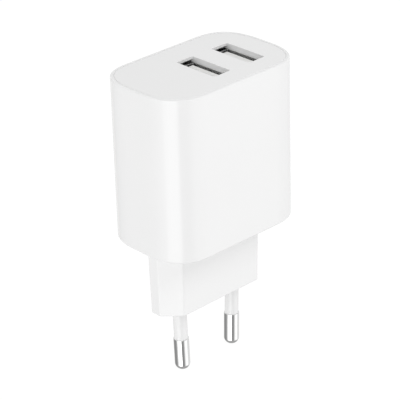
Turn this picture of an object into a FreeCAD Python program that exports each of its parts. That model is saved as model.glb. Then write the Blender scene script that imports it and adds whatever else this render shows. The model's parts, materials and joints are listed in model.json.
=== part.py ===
import FreeCAD, Part
import math
import os

# USB wall charger, millimetres.  The origin is the middle of the plug face, between the two mains
# pins.  +Z runs up through the body to the two USB ports, +X to the right and -Y to the wide front.
# The body stands a little forward of the pins, so its own middle is at BODY_Y.

# ---- body ----
BODY_WIDE = 43.6
BODY_DEEP = 28.0
BODY_TOP = 62.1
BODY_Y = -0.5
CORNER_WIDE = 11.0
CORNER_DEEP = 13.0
CORNER_POWER = 2.7
CORNER_POINTS = 9
END_PULL = 1.6
WALL = 1.8
BOTTOM_ROUND = 0.6
TOP_ROUND = 0.4

# ---- plug base, the hexagonal nose of a standard flat two-pin plug ----
NOSE_HIGH = 19.3
NOSE_FLAT = 26.1
NOSE_CHAMFER = 4.6
NOSE_LONG = 35.3
NOSE_DEEP = 12.5
NOSE_DRAFT = 0.45
NOSE_ROUND = 0.7
NOSE_WALL = 1.8
NOSE_FLOOR = 3.0
FLANGE_WIDER = 1.8
FLANGE_THICK = 1.6
NOSE_GAP = 0.05
ROOT_RECESS_RADIUS = 2.3
ROOT_RECESS_DEEP = 0.4

# ---- mains pins, standard flat two-pin plug ----
PIN_LONG = 19.0
PIN_ROOT_HALF = 9.3
PIN_TIP_HALF = 8.75
PIN_RADIUS = 2.0
PIN_TIP_ROUND = 1.7
SLEEVE_LONG = 10.0
SLEEVE_RADIUS = 1.8
SLEEVE_SUNK = 1.0
NECK_RADIUS = 1.4
SHANK_RADIUS = 1.6
SHANK_TOP = 12.0
SHANK_GROOVE_RADIUS = 1.3
SHANK_GROOVES = (5.0, 9.0)
SHANK_GROOVE_HALF = 0.4
TAIL_RADIUS = 1.0
TAIL_TOP = 15.0
BOSS_RADIUS = 3.4
STRIP_METAL = 0.5
STRIP_WIDE = 3.0
STRIP_X = 12.55
STRIP_TAB_BACK = 1.8
STRIP_TENON_WIDE = 1.0
STRIP_STEP_DOWN = 1.0
STRIP_OUT = 0.3

# ---- top cover ----
RIM = 0.8
COVER_GAP = 0.15
COVER_THICK = 1.6
LEDGE_DOWN = 1.65
COVER_ROUND = 0.15
PORT_MOUTH_CHAMFER = 0.2
SNAP_X = 9.0
SNAP_WIDE = 4.4
SNAP_THICK = 1.0
SNAP_LONG = 5.5
SNAP_HOOK = 0.5
SNAP_HOOK_HIGH = 1.2
SNAP_HOOK_LIP = 0.2
SNAP_GAP = 0.1

# ---- boards ----
BOARD_THICK = 1.6
MAIN_BOARD_TOP = 27.0
MAIN_BOARD_HALF_WIDE = 18.5
MAIN_BOARD_HALF_DEEP = 10.0
USB_BOARD_TOP = 46.5
USB_BOARD_LEFT = -5.5
USB_BOARD_RIGHT = 18.5
USB_BOARD_HALF_DEEP = 11.2
BOARD_CORNER = 5.0
LEAD_OUT = 1.2
LEAD_RADIUS = 0.3
HOLE_ROOM = 0.15
POST_RADIUS = 1.4
POST_X = 15.5
POST_Y = 8.7
RIB_X = (-3.0, 13.0)
RIB_WIDE = 1.4
RIB_OUT = 1.5

# ---- USB ports ----
PORT_X = (0.0, 11.7)
PORT_Y = -1.4
SHELL_THIN = 5.7
SHELL_LONG = 13.14
SHELL_METAL = 0.3
SHELL_CORNER = 0.6
SHELL_TOP = 60.35
MOUTH_THIN = 5.3
MOUTH_LONG = 13.1
MOUTH_CORNER = 0.5
MOUTH_RELIEF = 1.2
MOUTH_LIP = 0.8
TONGUE_TOP = 60.25
TONGUE_FOOT = 51.65
TONGUE_LOW = 0.05
TONGUE_HIGH = 1.89
TONGUE_LONG = 11.3
TONGUE_CHAMFER = 0.25
CONTACT_Y = (-3.5, -1.0, 1.0, 3.5)
CONTACT_WIDE = 1.0
CONTACT_METAL = 0.2
CONTACT_X = 0.45
CONTACT_PROUD = -0.3
CONTACT_FOOT = 52.3
CONTACT_TIP = 59.25
CONTACT_GAP = 0.1
CONTACT_STRAIGHT = 1.0
CONTACT_CREST = (1.6, 2.0)
GROOVE_WIDE = 1.2
GROOVE_FLOOR = 1.05
GROOVE_TOP = 59.65
CONTACT_TAIL_WIDE = 0.7
SHELL_LEG_WIDE = 1.8
FINGER_Y = 3.0
FINGER_WIDE = 2.2
FINGER_SLIT = 0.4
FINGER_FOOT = 58.15
FINGER_TIP = 52.95
CONTACT_HOLE = 0.42

# ---- links between the boards ----
LINK_X = 17.3
LINK_PITCH = 2.5
LINK_ROW = (-1.5, -0.5, 0.5, 1.5)
LINK_SQUARE = 0.64
LINK_HOLE = 0.52
LINK_HEADER_WIDE = 2.3

# ---- transformer ----
TRANSFORMER_X = 8.0
TRANSFORMER_PIN_PITCH = 2.5
TRANSFORMER_PIN_RADIUS = 0.35
TRANSFORMER_PIN_SUNK = 2.0
TRANSFORMER_PIN_ROW = (-2, -1, 0, 1, 2)
RAIL_Y = 5.6
RAIL_LONG = 13.0
RAIL_WIDE = 3.0
RAIL_HIGH = 3.0
BOBBIN_FLANGE = 1.0
BOBBIN_HALF_WIDE = 5.9
BOBBIN_HALF_DEEP = 7.0
BOBBIN_CORNER = 0.8
TUBE_HALF_WIDE = 3.1
TUBE_HALF_DEEP = 3.5
TUBE_CORNER = 0.6
PRIMARY_THICK = 1.3
SECONDARY_THICK = 1.0
TAPE_THICK = 0.15
CORE_WIDE = 16.0
CORE_DEEP = 4.8
CORE_YOKE = 2.0
CORE_LEG = 4.0
CORE_SIDE_LEG = 2.0
CORE_LOW = 28.0
CORE_TOP = 42.3
CORE_SPLIT = 35.15
CORE_AIR_GAP = 0.1
CORE_ROOM = 0.1
SHEET_LEFT = -5.0
SHEET_RIGHT = 16.3
SHEET_HALF_DEEP = 9.8
SHEET_THICK = 0.3

# ---- input capacitors, in the tall space left of the ports ----
CAN_X = -12.0
CAN_Y = 5.5
CAN_RADIUS = 4.85
CAN_FILM = 0.15
CAN_METAL = 0.3
CAN_ROLL = 0.1
CAN_ROLL_AT = 0.6
CAN_SHOULDER = 0.4
CAN_FILM_TURN = 0.3
CAN_FILM_IN = 1.2
BUNG_GAP = 0.1
CAN_LOW = 27.4
CAN_TOP = 47.2
CAN_BUNG_HIGH = 2.6
CAN_LEAD_HALF = 2.5

# ---- output capacitors, behind the ports ----
OUTPUT_CAN_X = (3.0, 11.0)
OUTPUT_CAN_Y = 8.4
OUTPUT_CAN_RADIUS = 2.5
OUTPUT_CAN_LOW = 46.8
OUTPUT_CAN_TOP = 53.8
OUTPUT_BUNG_HIGH = 1.6
OUTPUT_LEAD_HALF = 1.0

# ---- small parts ----
CHOKE_X = -3.5
CHOKE_Y = 5.2
CHOKE_RADIUS = 3.0
CHOKE_WAIST = 1.6
CHOKE_COIL = 2.7
CHOKE_LOW = 27.2
CHOKE_TOP = 35.2
CHOKE_FLANGE = 1.2
CHOKE_LEAD_HALF = 2.2
FUSE_X = -4.2
FUSE_Y = -0.4
FUSE_RADIUS = 1.75
FUSE_LOW = 28.5
FUSE_TOP = 37.5
FUSE_WAIST = 1.6
FUSE_CAP = 2.0
FUSE_CAP_ROUND = 0.5
FUSE_LEAD_RISE = 0.6
FUSE_LEAD_SPAN = 2.8
DISC_X = 6.0
DISC_Y = 8.9
DISC_Z = 32.0
DISC_RADIUS = 3.5
DISC_THICK = 2.4
DISC_ROUND = 0.96
DISC_LEAD_HALF = 2.5
CHIP_LONG = 2.0
CHIP_WIDE = 1.25
CHIP_START_X = -7.0
CHIP_PITCH = 2.8
CHIP_ROW_Y = -8.3
CHIP_ROW_COUNT = 5
CHIP_HIGH = 0.5
CHIP_CAP_X = 9.6
CHIP_CAP_Y = (-2.2, 0.0, 2.2)
CHIP_CAP_HIGH = 1.1

# ---- moulded packages: place, body (wide, deep, high), lead (reach, wide), places along the row ----
PACKAGE_LIFT = 0.15
PACKAGE_DRAW = 0.12
GULL_METAL = 0.18
GULL_EXIT = 0.75
GULL_OUT = 0.35
GULL_DOWN = 0.5
BRIDGE_AT = (-3.4, -6.3)
BRIDGE_BODY = (4.7, 4.0, 2.3)
BRIDGE_LEAD = (1.3, 0.6)
BRIDGE_ROW = (-1.27, 1.27)
CONTROLLER_AT = (5.0, 0.0)
CONTROLLER_BODY = (4.9, 3.9, 1.45)
CONTROLLER_LEAD = (1.05, 0.42)
CONTROLLER_ROW = (-1.905, -0.635, 0.635, 1.905)
DIODE_AT = (5.8, -4.4)
DIODE_BODY = (3.6, 4.4, 1.4)
DIODE_LEAD = (0.9, 2.0)
DIODE_ROW = (0.0,)
CHARGE_ID_AT = (5.85, -3.0)
CHARGE_ID_BODY = (1.6, 2.9, 1.1)
CHARGE_ID_LEAD = (0.6, 0.36)
CHARGE_ID_ROW = (-0.95, 0.0, 0.95)

# ---- worked out from the sizes above ----
BODY_FLOOR = NOSE_HIGH + WALL
LEDGE = BODY_TOP - LEDGE_DOWN
COVER_TOP = LEDGE + COVER_THICK
FLANGE_TOP = BODY_FLOOR + FLANGE_THICK
MAIN_BOARD_LOW = MAIN_BOARD_TOP - BOARD_THICK
USB_BOARD_LOW = USB_BOARD_TOP - BOARD_THICK
LEAD_END = MAIN_BOARD_LOW - LEAD_OUT
USB_LEAD_END = USB_BOARD_LOW - LEAD_OUT
STRIP_SHOULDER = MAIN_BOARD_LOW - STRIP_STEP_DOWN
STRIP_TOP = MAIN_BOARD_TOP + STRIP_OUT
INNER_DEEP = BODY_DEEP / 2 - WALL
PIN_TILT = math.degrees(math.atan((PIN_ROOT_HALF - PIN_TIP_HALF) / PIN_LONG))

UP = FreeCAD.Vector(0, 0, 1)
NEAR = 1e-4


def point(x, y, z):
    return FreeCAD.Vector(x, y, z)


def block(x0, x1, y0, y1, z0, z1):
    return Part.makeBox(x1 - x0, y1 - y0, z1 - z0, point(x0, y0, z0))


def block_at(x, y, wide, deep, z0, z1):
    return block(x - wide / 2, x + wide / 2, y - deep / 2, y + deep / 2, z0, z1)


def rod(x, y, radius, z0, z1):
    return Part.makeCylinder(radius, z1 - z0, point(x, y, z0), UP)


def prism(outline, z0, z1):
    return Part.Face(outline).extrude(point(0, 0, z1 - z0))


def joined(shapes):
    whole = shapes[0]
    for shape in shapes[1:]:
        whole = whole.fuse(shape)
    return whole.removeSplitter()


def upright_edges(shape):
    chosen = []
    for edge in shape.Edges:
        box = edge.BoundBox
        if box.ZLength > NEAR and box.XLength < NEAR and box.YLength < NEAR:
            chosen.append(edge)
    return chosen


def level_edges(shape, z):
    """Edges lying at one height."""
    chosen = []
    for edge in shape.Edges:
        box = edge.BoundBox
        if abs(box.ZMin - z) < NEAR and abs(box.ZMax - z) < NEAR:
            chosen.append(edge)
    return chosen


def rounded_block(x, y, wide, deep, z0, z1, corner):
    shape = block_at(x, y, wide, deep, z0, z1)
    return shape.makeFillet(corner, upright_edges(shape))


# ---- outlines ----

def corner_curve(middle_x, middle_y, wide, deep, sign_x, sign_y, z):
    """A full soft corner, from the long side round to the short side."""
    points = []
    for step in range(CORNER_POINTS):
        turn = math.pi / 2 * step / (CORNER_POINTS - 1)
        along = abs(math.sin(turn)) ** (2 / CORNER_POWER)
        across = abs(math.cos(turn)) ** (2 / CORNER_POWER)
        x = sign_x * (middle_x + wide * along)
        y = BODY_Y + sign_y * (middle_y + deep * across)
        points.append(point(x, y, z))
    curve = Part.BSplineCurve()
    curve.interpolate(
        Points=points,
        InitialTangent=point(sign_x * wide * END_PULL, 0, 0),
        FinalTangent=point(0, -sign_y * deep * END_PULL, 0),
    )
    return curve.toShape()


def body_outline(inset, z):
    """The body's outline, moved in from the outer surface by inset."""
    half_wide = BODY_WIDE / 2 - inset
    wide = CORNER_WIDE - inset
    deep = CORNER_DEEP - inset
    middle_x = half_wide - wide
    middle_y = BODY_DEEP / 2 - inset - deep
    front = BODY_Y - BODY_DEEP / 2 + inset
    back = BODY_Y + BODY_DEEP / 2 - inset
    low = BODY_Y - middle_y
    high = BODY_Y + middle_y
    edges = [
        Part.makeLine(point(-middle_x, front, z), point(middle_x, front, z)),
        corner_curve(middle_x, middle_y, wide, deep, 1, -1, z),
        Part.makeLine(point(half_wide, low, z), point(half_wide, high, z)),
        corner_curve(middle_x, middle_y, wide, deep, 1, 1, z),
        Part.makeLine(point(middle_x, back, z), point(-middle_x, back, z)),
        corner_curve(middle_x, middle_y, wide, deep, -1, 1, z),
        Part.makeLine(point(-half_wide, high, z), point(-half_wide, low, z)),
        corner_curve(middle_x, middle_y, wide, deep, -1, -1, z),
    ]
    return Part.Wire(Part.__sortEdges__(edges))


def nose_outline(grow, z):
    """The hexagonal nose outline with blunt ends, grown evenly by grow."""
    shift = grow * math.tan(math.radians(22.5))
    half_long = NOSE_LONG / 2 + grow
    half_deep = NOSE_DEEP / 2 + grow
    flat = NOSE_FLAT / 2 + shift
    end = NOSE_DEEP / 2 - NOSE_CHAMFER + shift
    quarter = [(flat, half_deep), (half_long, end)]
    corners = list(quarter)
    corners += [(x, -y) for x, y in reversed(quarter)]
    corners += [(-x, -y) for x, y in quarter]
    corners += [(-x, y) for x, y in reversed(quarter)]
    points = [point(x, y, z) for x, y in corners]
    return Part.makePolygon(points + points[:1])


def leaning(shape, side):
    """Put a shape made on the Z axis onto the leaning axis of the left (-1) or right (1) pin."""
    placed = shape.copy()
    placed.rotate(point(0, 0, 0), point(0, 1, 0), side * PIN_TILT)
    placed.translate(point(side * PIN_ROOT_HALF, 0, 0))
    return placed


# ---- shells ----

def snap_places():
    return [(x, side) for x in (-SNAP_X, SNAP_X) for side in (-1, 1)]


def main_housing():
    shell = prism(body_outline(0, NOSE_HIGH), NOSE_HIGH, BODY_TOP)
    shell = shell.makeFillet(BOTTOM_ROUND, level_edges(shell, NOSE_HIGH))
    shell = shell.makeFillet(TOP_ROUND, level_edges(shell, BODY_TOP))
    shell = shell.cut(prism(body_outline(WALL, BODY_FLOOR), BODY_FLOOR, LEDGE))
    shell = shell.cut(prism(body_outline(RIM, LEDGE), LEDGE, BODY_TOP))
    shell = shell.cut(prism(nose_outline(NOSE_GAP, NOSE_HIGH), NOSE_HIGH, BODY_FLOOR))
    # posts under the main board
    for x in (-POST_X, POST_X):
        for y in (-POST_Y, POST_Y):
            shell = shell.fuse(rod(x, y, POST_RADIUS, BODY_FLOOR, MAIN_BOARD_LOW))
    # wall ribs under the USB board, and pockets for the cover's hooks
    for side in (-1, 1):
        for x in RIB_X:
            rib = block_at(
                x, BODY_Y + side * (INNER_DEEP - RIB_OUT / 2 + WALL / 4),
                RIB_WIDE, RIB_OUT + WALL / 2, BODY_FLOOR, USB_BOARD_LOW,
            )
            shell = shell.fuse(rib)
    hook_low = LEDGE - SNAP_LONG
    for x, side in snap_places():
        pocket_deep = SNAP_HOOK + SNAP_GAP
        pocket = block_at(
            x, BODY_Y + side * (INNER_DEEP + pocket_deep / 2),
            SNAP_WIDE + 2 * SNAP_GAP, pocket_deep,
            hook_low - SNAP_GAP, hook_low + SNAP_HOOK_HIGH + 2 * SNAP_GAP,
        )
        shell = shell.cut(pocket)
    return shell.removeSplitter()


def snap_leg(x, side):
    """A leg with a wedge hook at its foot."""
    outer = INNER_DEEP - SNAP_GAP
    inner = outer - SNAP_THICK
    low = LEDGE - SNAP_LONG
    corners = [
        (inner, LEDGE),
        (inner, low),
        (outer, low),
        (outer + SNAP_HOOK, low + SNAP_HOOK_HIGH - SNAP_HOOK_LIP),
        (outer + SNAP_HOOK, low + SNAP_HOOK_HIGH),
        (outer, low + SNAP_HOOK_HIGH),
        (outer, LEDGE),
    ]
    points = [point(x - SNAP_WIDE / 2, BODY_Y + side * y, z) for y, z in corners]
    face = Part.Face(Part.makePolygon(points + points[:1]))
    return face.extrude(point(SNAP_WIDE, 0, 0))


def mouth_edges(plate):
    """The upper edges of the two socket openings: those well inside the cover's outline."""
    reach_y = MOUTH_LONG / 2 + PORT_MOUTH_CHAMFER
    reach_x = MOUTH_THIN / 2 + PORT_MOUTH_CHAMFER
    chosen = []
    for edge in level_edges(plate, COVER_TOP):
        middle = edge.BoundBox.Center
        near_port = any(abs(middle.x - x) < reach_x for x in PORT_X)
        if near_port and abs(middle.y - PORT_Y) < reach_y:
            chosen.append(edge)
    return chosen


def end_relief(x, side):
    """The hollow under the cover that leaves a thin lip at one end of a socket opening."""
    near, far = sorted(
        PORT_Y + side * (MOUTH_LONG / 2 + reach) for reach in (-MOUTH_CORNER, MOUTH_RELIEF)
    )
    half = MOUTH_THIN / 2
    return block(x - half, x + half, near, far, LEDGE, COVER_TOP - MOUTH_LIP)


def top_cover():
    plate = prism(body_outline(RIM + COVER_GAP, LEDGE), LEDGE, COVER_TOP)
    plate = plate.makeFillet(COVER_ROUND, level_edges(plate, COVER_TOP))
    for x in PORT_X:
        mouth = rounded_block(
            x, PORT_Y, MOUTH_THIN, MOUTH_LONG, LEDGE, COVER_TOP, MOUTH_CORNER
        )
        plate = plate.cut(mouth)
    plate = plate.makeChamfer(PORT_MOUTH_CHAMFER, mouth_edges(plate))
    for x in PORT_X:
        for side in (-1, 1):
            plate = plate.cut(end_relief(x, side))
    legs = [snap_leg(x, side) for x, side in snap_places()]
    return joined([plate] + legs)


def plug_base():
    outer = Part.makeLoft([nose_outline(-NOSE_DRAFT, 0), nose_outline(0, BODY_FLOOR)], True, True)
    leaning_edges = [
        edge for edge in outer.Edges if edge.BoundBox.ZLength > NOSE_HIGH / 2
    ]
    outer = outer.makeFillet(NOSE_ROUND, leaning_edges)
    outer = outer.makeFillet(NOSE_ROUND / 2, level_edges(outer, 0))
    inside = prism(nose_outline(-NOSE_WALL - NOSE_DRAFT, NOSE_FLOOR), NOSE_FLOOR, BODY_FLOOR)
    flange = prism(nose_outline(FLANGE_WIDER, BODY_FLOOR), BODY_FLOOR, FLANGE_TOP)
    flange = flange.cut(
        prism(nose_outline(-NOSE_WALL - NOSE_DRAFT, BODY_FLOOR), BODY_FLOOR, FLANGE_TOP)
    )
    base = joined([outer.cut(inside), flange])
    for side in (-1, 1):
        # the boss starts inside the floor, because its own foot leans too
        boss = rod(0, 0, BOSS_RADIUS, NOSE_FLOOR / 2, SHANK_TOP)
        base = base.fuse(leaning(boss, side))
    for side in (-1, 1):
        base = base.cut(mains_pin(side))
        socket = rod(0, 0, SLEEVE_RADIUS, -SLEEVE_SUNK, SLEEVE_SUNK)
        base = base.cut(leaning(socket, side))
        # a shallow ring recess, so that the leaning sleeve stays clear of the wall plate
        base = base.cut(rod(side * PIN_ROOT_HALF, 0, ROOT_RECESS_RADIUS, 0, ROOT_RECESS_DEEP))
    return base.removeSplitter()


# ---- mains pins ----

def mains_pin(side):
    """Tip downwards: thick bare tip, thin neck under the sleeve, grooved shank, tail for the strip."""
    tip = rod(0, 0, PIN_RADIUS, -PIN_LONG, -SLEEVE_LONG)
    tip = tip.makeFillet(PIN_TIP_ROUND, level_edges(tip, -PIN_LONG))
    neck = rod(0, 0, NECK_RADIUS, -SLEEVE_LONG, SLEEVE_SUNK)
    shank = rod(0, 0, SHANK_RADIUS, SLEEVE_SUNK, SHANK_TOP)
    for height in SHANK_GROOVES:
        low, high = height - SHANK_GROOVE_HALF, height + SHANK_GROOVE_HALF
        ring = rod(0, 0, SHANK_RADIUS, low, high).cut(rod(0, 0, SHANK_GROOVE_RADIUS, low, high))
        shank = shank.cut(ring)
    tail = rod(0, 0, TAIL_RADIUS, SHANK_TOP, TAIL_TOP)
    return leaning(joined([tip, neck, shank, tail]), side)


def pin_sleeve(side):
    sleeve = rod(0, 0, SLEEVE_RADIUS, -SLEEVE_LONG, SLEEVE_SUNK)
    sleeve = sleeve.cut(rod(0, 0, NECK_RADIUS, -SLEEVE_LONG, SLEEVE_SUNK))
    return leaning(sleeve, side)


def pin_contact(side):
    """A brass strip: a tab pressed on the pin's tail, and a leg up to the main board."""
    lean = SHANK_TOP * math.tan(math.radians(PIN_TILT))
    tab = block(
        -STRIP_TAB_BACK, STRIP_X + STRIP_METAL / 2 - PIN_ROOT_HALF - lean,
        -STRIP_WIDE / 2, STRIP_WIDE / 2, SHANK_TOP, SHANK_TOP + STRIP_METAL,
    )
    if side < 0:
        tab = tab.mirror(point(0, 0, 0), point(1, 0, 0))
    tab = leaning(tab.cut(rod(0, 0, TAIL_RADIUS, SHANK_TOP, TAIL_TOP)), side)
    leg = block_at(
        side * STRIP_X, 0, STRIP_METAL, STRIP_WIDE, SHANK_TOP + STRIP_METAL / 4, STRIP_SHOULDER
    )
    tenon = block_at(
        side * STRIP_X, 0, STRIP_METAL, STRIP_TENON_WIDE, STRIP_SHOULDER, STRIP_TOP
    )
    return joined([tab, leg, tenon])


# ---- USB ports ----

def contact_blade(x, y):
    """One contact leaf: straight foot, outward bow, tip tucked back into its groove."""
    half = CONTACT_METAL / 2
    middle = [
        (CONTACT_X, CONTACT_FOOT),
        (CONTACT_X, CONTACT_FOOT + CONTACT_STRAIGHT),
        (CONTACT_PROUD, CONTACT_TIP - CONTACT_CREST[1]),
        (CONTACT_PROUD, CONTACT_TIP - CONTACT_CREST[0]),
        (CONTACT_X, CONTACT_TIP),
    ]
    corners = [(px + half, pz) for px, pz in middle]
    corners += [(px - half, pz) for px, pz in reversed(middle)]
    points = [point(x + px, y - CONTACT_WIDE / 2, pz) for px, pz in corners]
    face = Part.Face(Part.makePolygon(points + points[:1]))
    return face.extrude(point(0, CONTACT_WIDE, 0))


def port_places():
    return [(number + 1, x) for number, x in enumerate(PORT_X)]


def contact_blades(x):
    return Part.makeCompound([contact_blade(x, PORT_Y + y) for y in CONTACT_Y])


def contact_tail(x, y):
    return block_at(
        x + CONTACT_X, PORT_Y + y, CONTACT_METAL, CONTACT_TAIL_WIDE,
        USB_LEAD_END, CONTACT_FOOT - CONTACT_GAP,
    )


def contact_tails(x):
    return Part.makeCompound([contact_tail(x, y) for y in CONTACT_Y])


def port_shell(x):
    """A folded metal tube with two spring tongues cut in each wide side and a solder leg at each end."""
    outer = rounded_block(x, PORT_Y, SHELL_THIN, SHELL_LONG, USB_BOARD_TOP, SHELL_TOP, SHELL_CORNER)
    inner = rounded_block(
        x, PORT_Y, SHELL_THIN - 2 * SHELL_METAL, SHELL_LONG - 2 * SHELL_METAL,
        USB_BOARD_TOP, SHELL_TOP, SHELL_CORNER - SHELL_METAL,
    )
    shell = outer.cut(inner)
    for y in (-FINGER_Y, FINGER_Y):
        for edge in (-1, 1):
            cut = block_at(
                x, PORT_Y + y + edge * (FINGER_WIDE + FINGER_SLIT) / 2,
                SHELL_THIN, FINGER_SLIT, FINGER_TIP, FINGER_FOOT,
            )
            shell = shell.cut(cut)
        cut = block_at(
            x, PORT_Y + y, SHELL_THIN, FINGER_WIDE + 2 * FINGER_SLIT,
            FINGER_TIP - FINGER_SLIT, FINGER_TIP,
        )
        shell = shell.cut(cut)
    for side in (-1, 1):
        leg = block_at(
            x, PORT_Y + side * (SHELL_LONG - SHELL_METAL) / 2,
            SHELL_LEG_WIDE, SHELL_METAL, USB_LEAD_END, USB_BOARD_TOP,
        )
        shell = shell.fuse(leg)
    return shell.removeSplitter()


def port_insulator(x):
    """The plastic block in the foot of the shell, with the tongue that carries the contacts."""
    foot = rounded_block(
        x, PORT_Y, SHELL_THIN - 2 * SHELL_METAL, SHELL_LONG - 2 * SHELL_METAL,
        USB_BOARD_TOP, TONGUE_FOOT, SHELL_CORNER - SHELL_METAL,
    )
    tongue = block(
        x + TONGUE_LOW, x + TONGUE_HIGH,
        PORT_Y - TONGUE_LONG / 2, PORT_Y + TONGUE_LONG / 2, TONGUE_FOOT, TONGUE_TOP,
    )
    tongue = tongue.makeChamfer(TONGUE_CHAMFER, level_edges(tongue, TONGUE_TOP))
    body = foot.fuse(tongue)
    for y in CONTACT_Y:
        groove = block(
            x + TONGUE_LOW, x + GROOVE_FLOOR,
            PORT_Y + y - GROOVE_WIDE / 2, PORT_Y + y + GROOVE_WIDE / 2, TONGUE_FOOT, GROOVE_TOP,
        )
        body = body.cut(groove).cut(contact_tail(x, y))
    return body.removeSplitter()


# ---- boards ----

def drilled(board, holes, low, high):
    """Cut (x, y, radius) holes, all at once."""
    drills = [rod(x, y, radius, low, high) for x, y, radius in holes]
    return board.cut(Part.makeCompound(drills))


def main_board():
    board = rounded_block(
        0, 0, 2 * MAIN_BOARD_HALF_WIDE, 2 * MAIN_BOARD_HALF_DEEP,
        MAIN_BOARD_LOW, MAIN_BOARD_TOP, BOARD_CORNER,
    )
    leads = can_lead_places() + choke_lead_places() + fuse_lead_places() + disc_lead_places()
    holes = [(x, y, LEAD_RADIUS + HOLE_ROOM) for x, y in leads]
    holes += [(x, y, TRANSFORMER_PIN_RADIUS + HOLE_ROOM) for x, y in transformer_pin_places()]
    holes += [(x, y, LINK_HOLE) for x, y in link_places()]
    board = drilled(board, holes, MAIN_BOARD_LOW, MAIN_BOARD_TOP)
    for side in (-1, 1):
        slot = block_at(
            side * STRIP_X, 0, STRIP_METAL + 2 * HOLE_ROOM, STRIP_TENON_WIDE + 2 * HOLE_ROOM,
            MAIN_BOARD_LOW, MAIN_BOARD_TOP,
        )
        board = board.cut(slot)
    return board


def usb_board():
    middle = (USB_BOARD_LEFT + USB_BOARD_RIGHT) / 2
    board = block_at(
        middle, BODY_Y, USB_BOARD_RIGHT - USB_BOARD_LEFT, 2 * USB_BOARD_HALF_DEEP,
        USB_BOARD_LOW, USB_BOARD_TOP,
    )
    right = [edge for edge in upright_edges(board) if edge.BoundBox.XMin > middle]
    board = board.makeFillet(BOARD_CORNER, right)
    holes = [(x, y, LINK_HOLE) for x, y in link_places()]
    holes += [(x, y, LEAD_RADIUS + HOLE_ROOM) for x, y in output_lead_places()]
    holes += [(x + CONTACT_X, PORT_Y + y, CONTACT_HOLE) for x in PORT_X for y in CONTACT_Y]
    board = drilled(board, holes, USB_BOARD_LOW, USB_BOARD_TOP)
    for x in PORT_X:
        for side in (-1, 1):
            slot = block_at(
                x, PORT_Y + side * (SHELL_LONG - SHELL_METAL) / 2,
                SHELL_LEG_WIDE + 2 * HOLE_ROOM, SHELL_METAL + 2 * HOLE_ROOM,
                USB_BOARD_LOW, USB_BOARD_TOP,
            )
            board = board.cut(slot)
    return board


def insulation_sheet():
    return block(
        SHEET_LEFT, SHEET_RIGHT, -SHEET_HALF_DEEP, SHEET_HALF_DEEP,
        CORE_TOP, CORE_TOP + SHEET_THICK,
    )


# ---- board links ----

def link_places():
    return [(LINK_X, LINK_PITCH * place) for place in LINK_ROW]


def board_link_pins():
    pins = [
        block_at(x, y, LINK_SQUARE, LINK_SQUARE, LEAD_END, USB_BOARD_TOP + LEAD_OUT)
        for x, y in link_places()
    ]
    return Part.makeCompound(pins)


def board_link_header():
    header = block_at(
        LINK_X, 0, LINK_HEADER_WIDE, len(LINK_ROW) * LINK_PITCH,
        MAIN_BOARD_TOP, MAIN_BOARD_TOP + LINK_PITCH,
    )
    return header.cut(board_link_pins())


# ---- moulded packages with gull-wing leads ----

def moulded_body(at, size, board_z, up):
    """A moulded package, drawn in towards top and bottom.  up is 1 on a board and -1 under it."""
    wide, deep, high = size
    waist = board_z + up * (GULL_EXIT + GULL_METAL / 2)
    halves = []
    for z in (board_z + up * PACKAGE_LIFT, board_z + up * (PACKAGE_LIFT + high)):
        wires = []
        for level, inset in ((waist, 0), (z, PACKAGE_DRAW)):
            half_w, half_d = wide / 2 - inset, deep / 2 - inset
            signs = ((-1, -1), (1, -1), (1, 1), (-1, 1))
            ring = [point(at[0] + a * half_w, at[1] + b * half_d, level) for a, b in signs]
            wires.append(Part.makePolygon(ring + ring[:1]))
        halves.append(Part.makeLoft(wires, True, True))
    return joined(halves)


def gull_leads(at, body_half, lead, row, board_z, up, along_x=False):
    """Bent leads on both sides: out of the body, down to the board, and out along it."""
    reach, wide = lead
    knee = body_half + reach * GULL_OUT
    foot = body_half + reach * GULL_DOWN
    end = body_half + reach
    corners = [
        (body_half, GULL_EXIT + GULL_METAL),
        (body_half, GULL_EXIT),
        (knee, GULL_EXIT),
        (foot, 0.0),
        (end, 0.0),
        (end, GULL_METAL),
        (foot + GULL_METAL, GULL_METAL),
        (knee + GULL_METAL, GULL_EXIT + GULL_METAL),
    ]
    leads = []
    for place in row:
        for side in (-1, 1):
            points = []
            for out, rise in corners:
                across = (side * out, place - wide / 2)
                x, y = across if along_x else across[::-1]
                points.append(point(at[0] + x, at[1] + y, board_z + up * rise))
            sweep = point(0, wide, 0) if along_x else point(wide, 0, 0)
            leads.append(Part.Face(Part.makePolygon(points + points[:1])).extrude(sweep))
    return Part.makeCompound(leads)


def package_nodes():
    """Body and leads of every moulded package."""
    places = (
        ("bridge_rectifier", BRIDGE_AT, BRIDGE_BODY, BRIDGE_LEAD, BRIDGE_ROW, MAIN_BOARD_TOP, 1, False),
        ("controller_chip", CONTROLLER_AT, CONTROLLER_BODY, CONTROLLER_LEAD, CONTROLLER_ROW,
         MAIN_BOARD_LOW, -1, False),
        ("output_diode", DIODE_AT, DIODE_BODY, DIODE_LEAD, DIODE_ROW, USB_BOARD_LOW, -1, False),
        ("charge_id_chip", CHARGE_ID_AT, CHARGE_ID_BODY, CHARGE_ID_LEAD, CHARGE_ID_ROW,
         USB_BOARD_TOP, 1, True),
    )
    nodes = {}
    for name, at, size, lead, row, board_z, up, along_x in places:
        body_half = (size[0] if along_x else size[1]) / 2
        nodes[name + "_body"] = moulded_body(at, size, board_z, up)
        nodes[name + "_leads"] = gull_leads(at, body_half, lead, row, board_z, up, along_x)
    return nodes


def chips(places, high):
    """Small surface-mount pieces under the main board, at (x, y)."""
    blocks = [
        block_at(x, y, CHIP_LONG, CHIP_WIDE, MAIN_BOARD_LOW - high, MAIN_BOARD_LOW)
        for x, y in places
    ]
    return Part.makeCompound(blocks)


def chip_resistors():
    places = [(CHIP_START_X + CHIP_PITCH * index, CHIP_ROW_Y) for index in range(CHIP_ROW_COUNT)]
    return chips(places, CHIP_HIGH)


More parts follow.
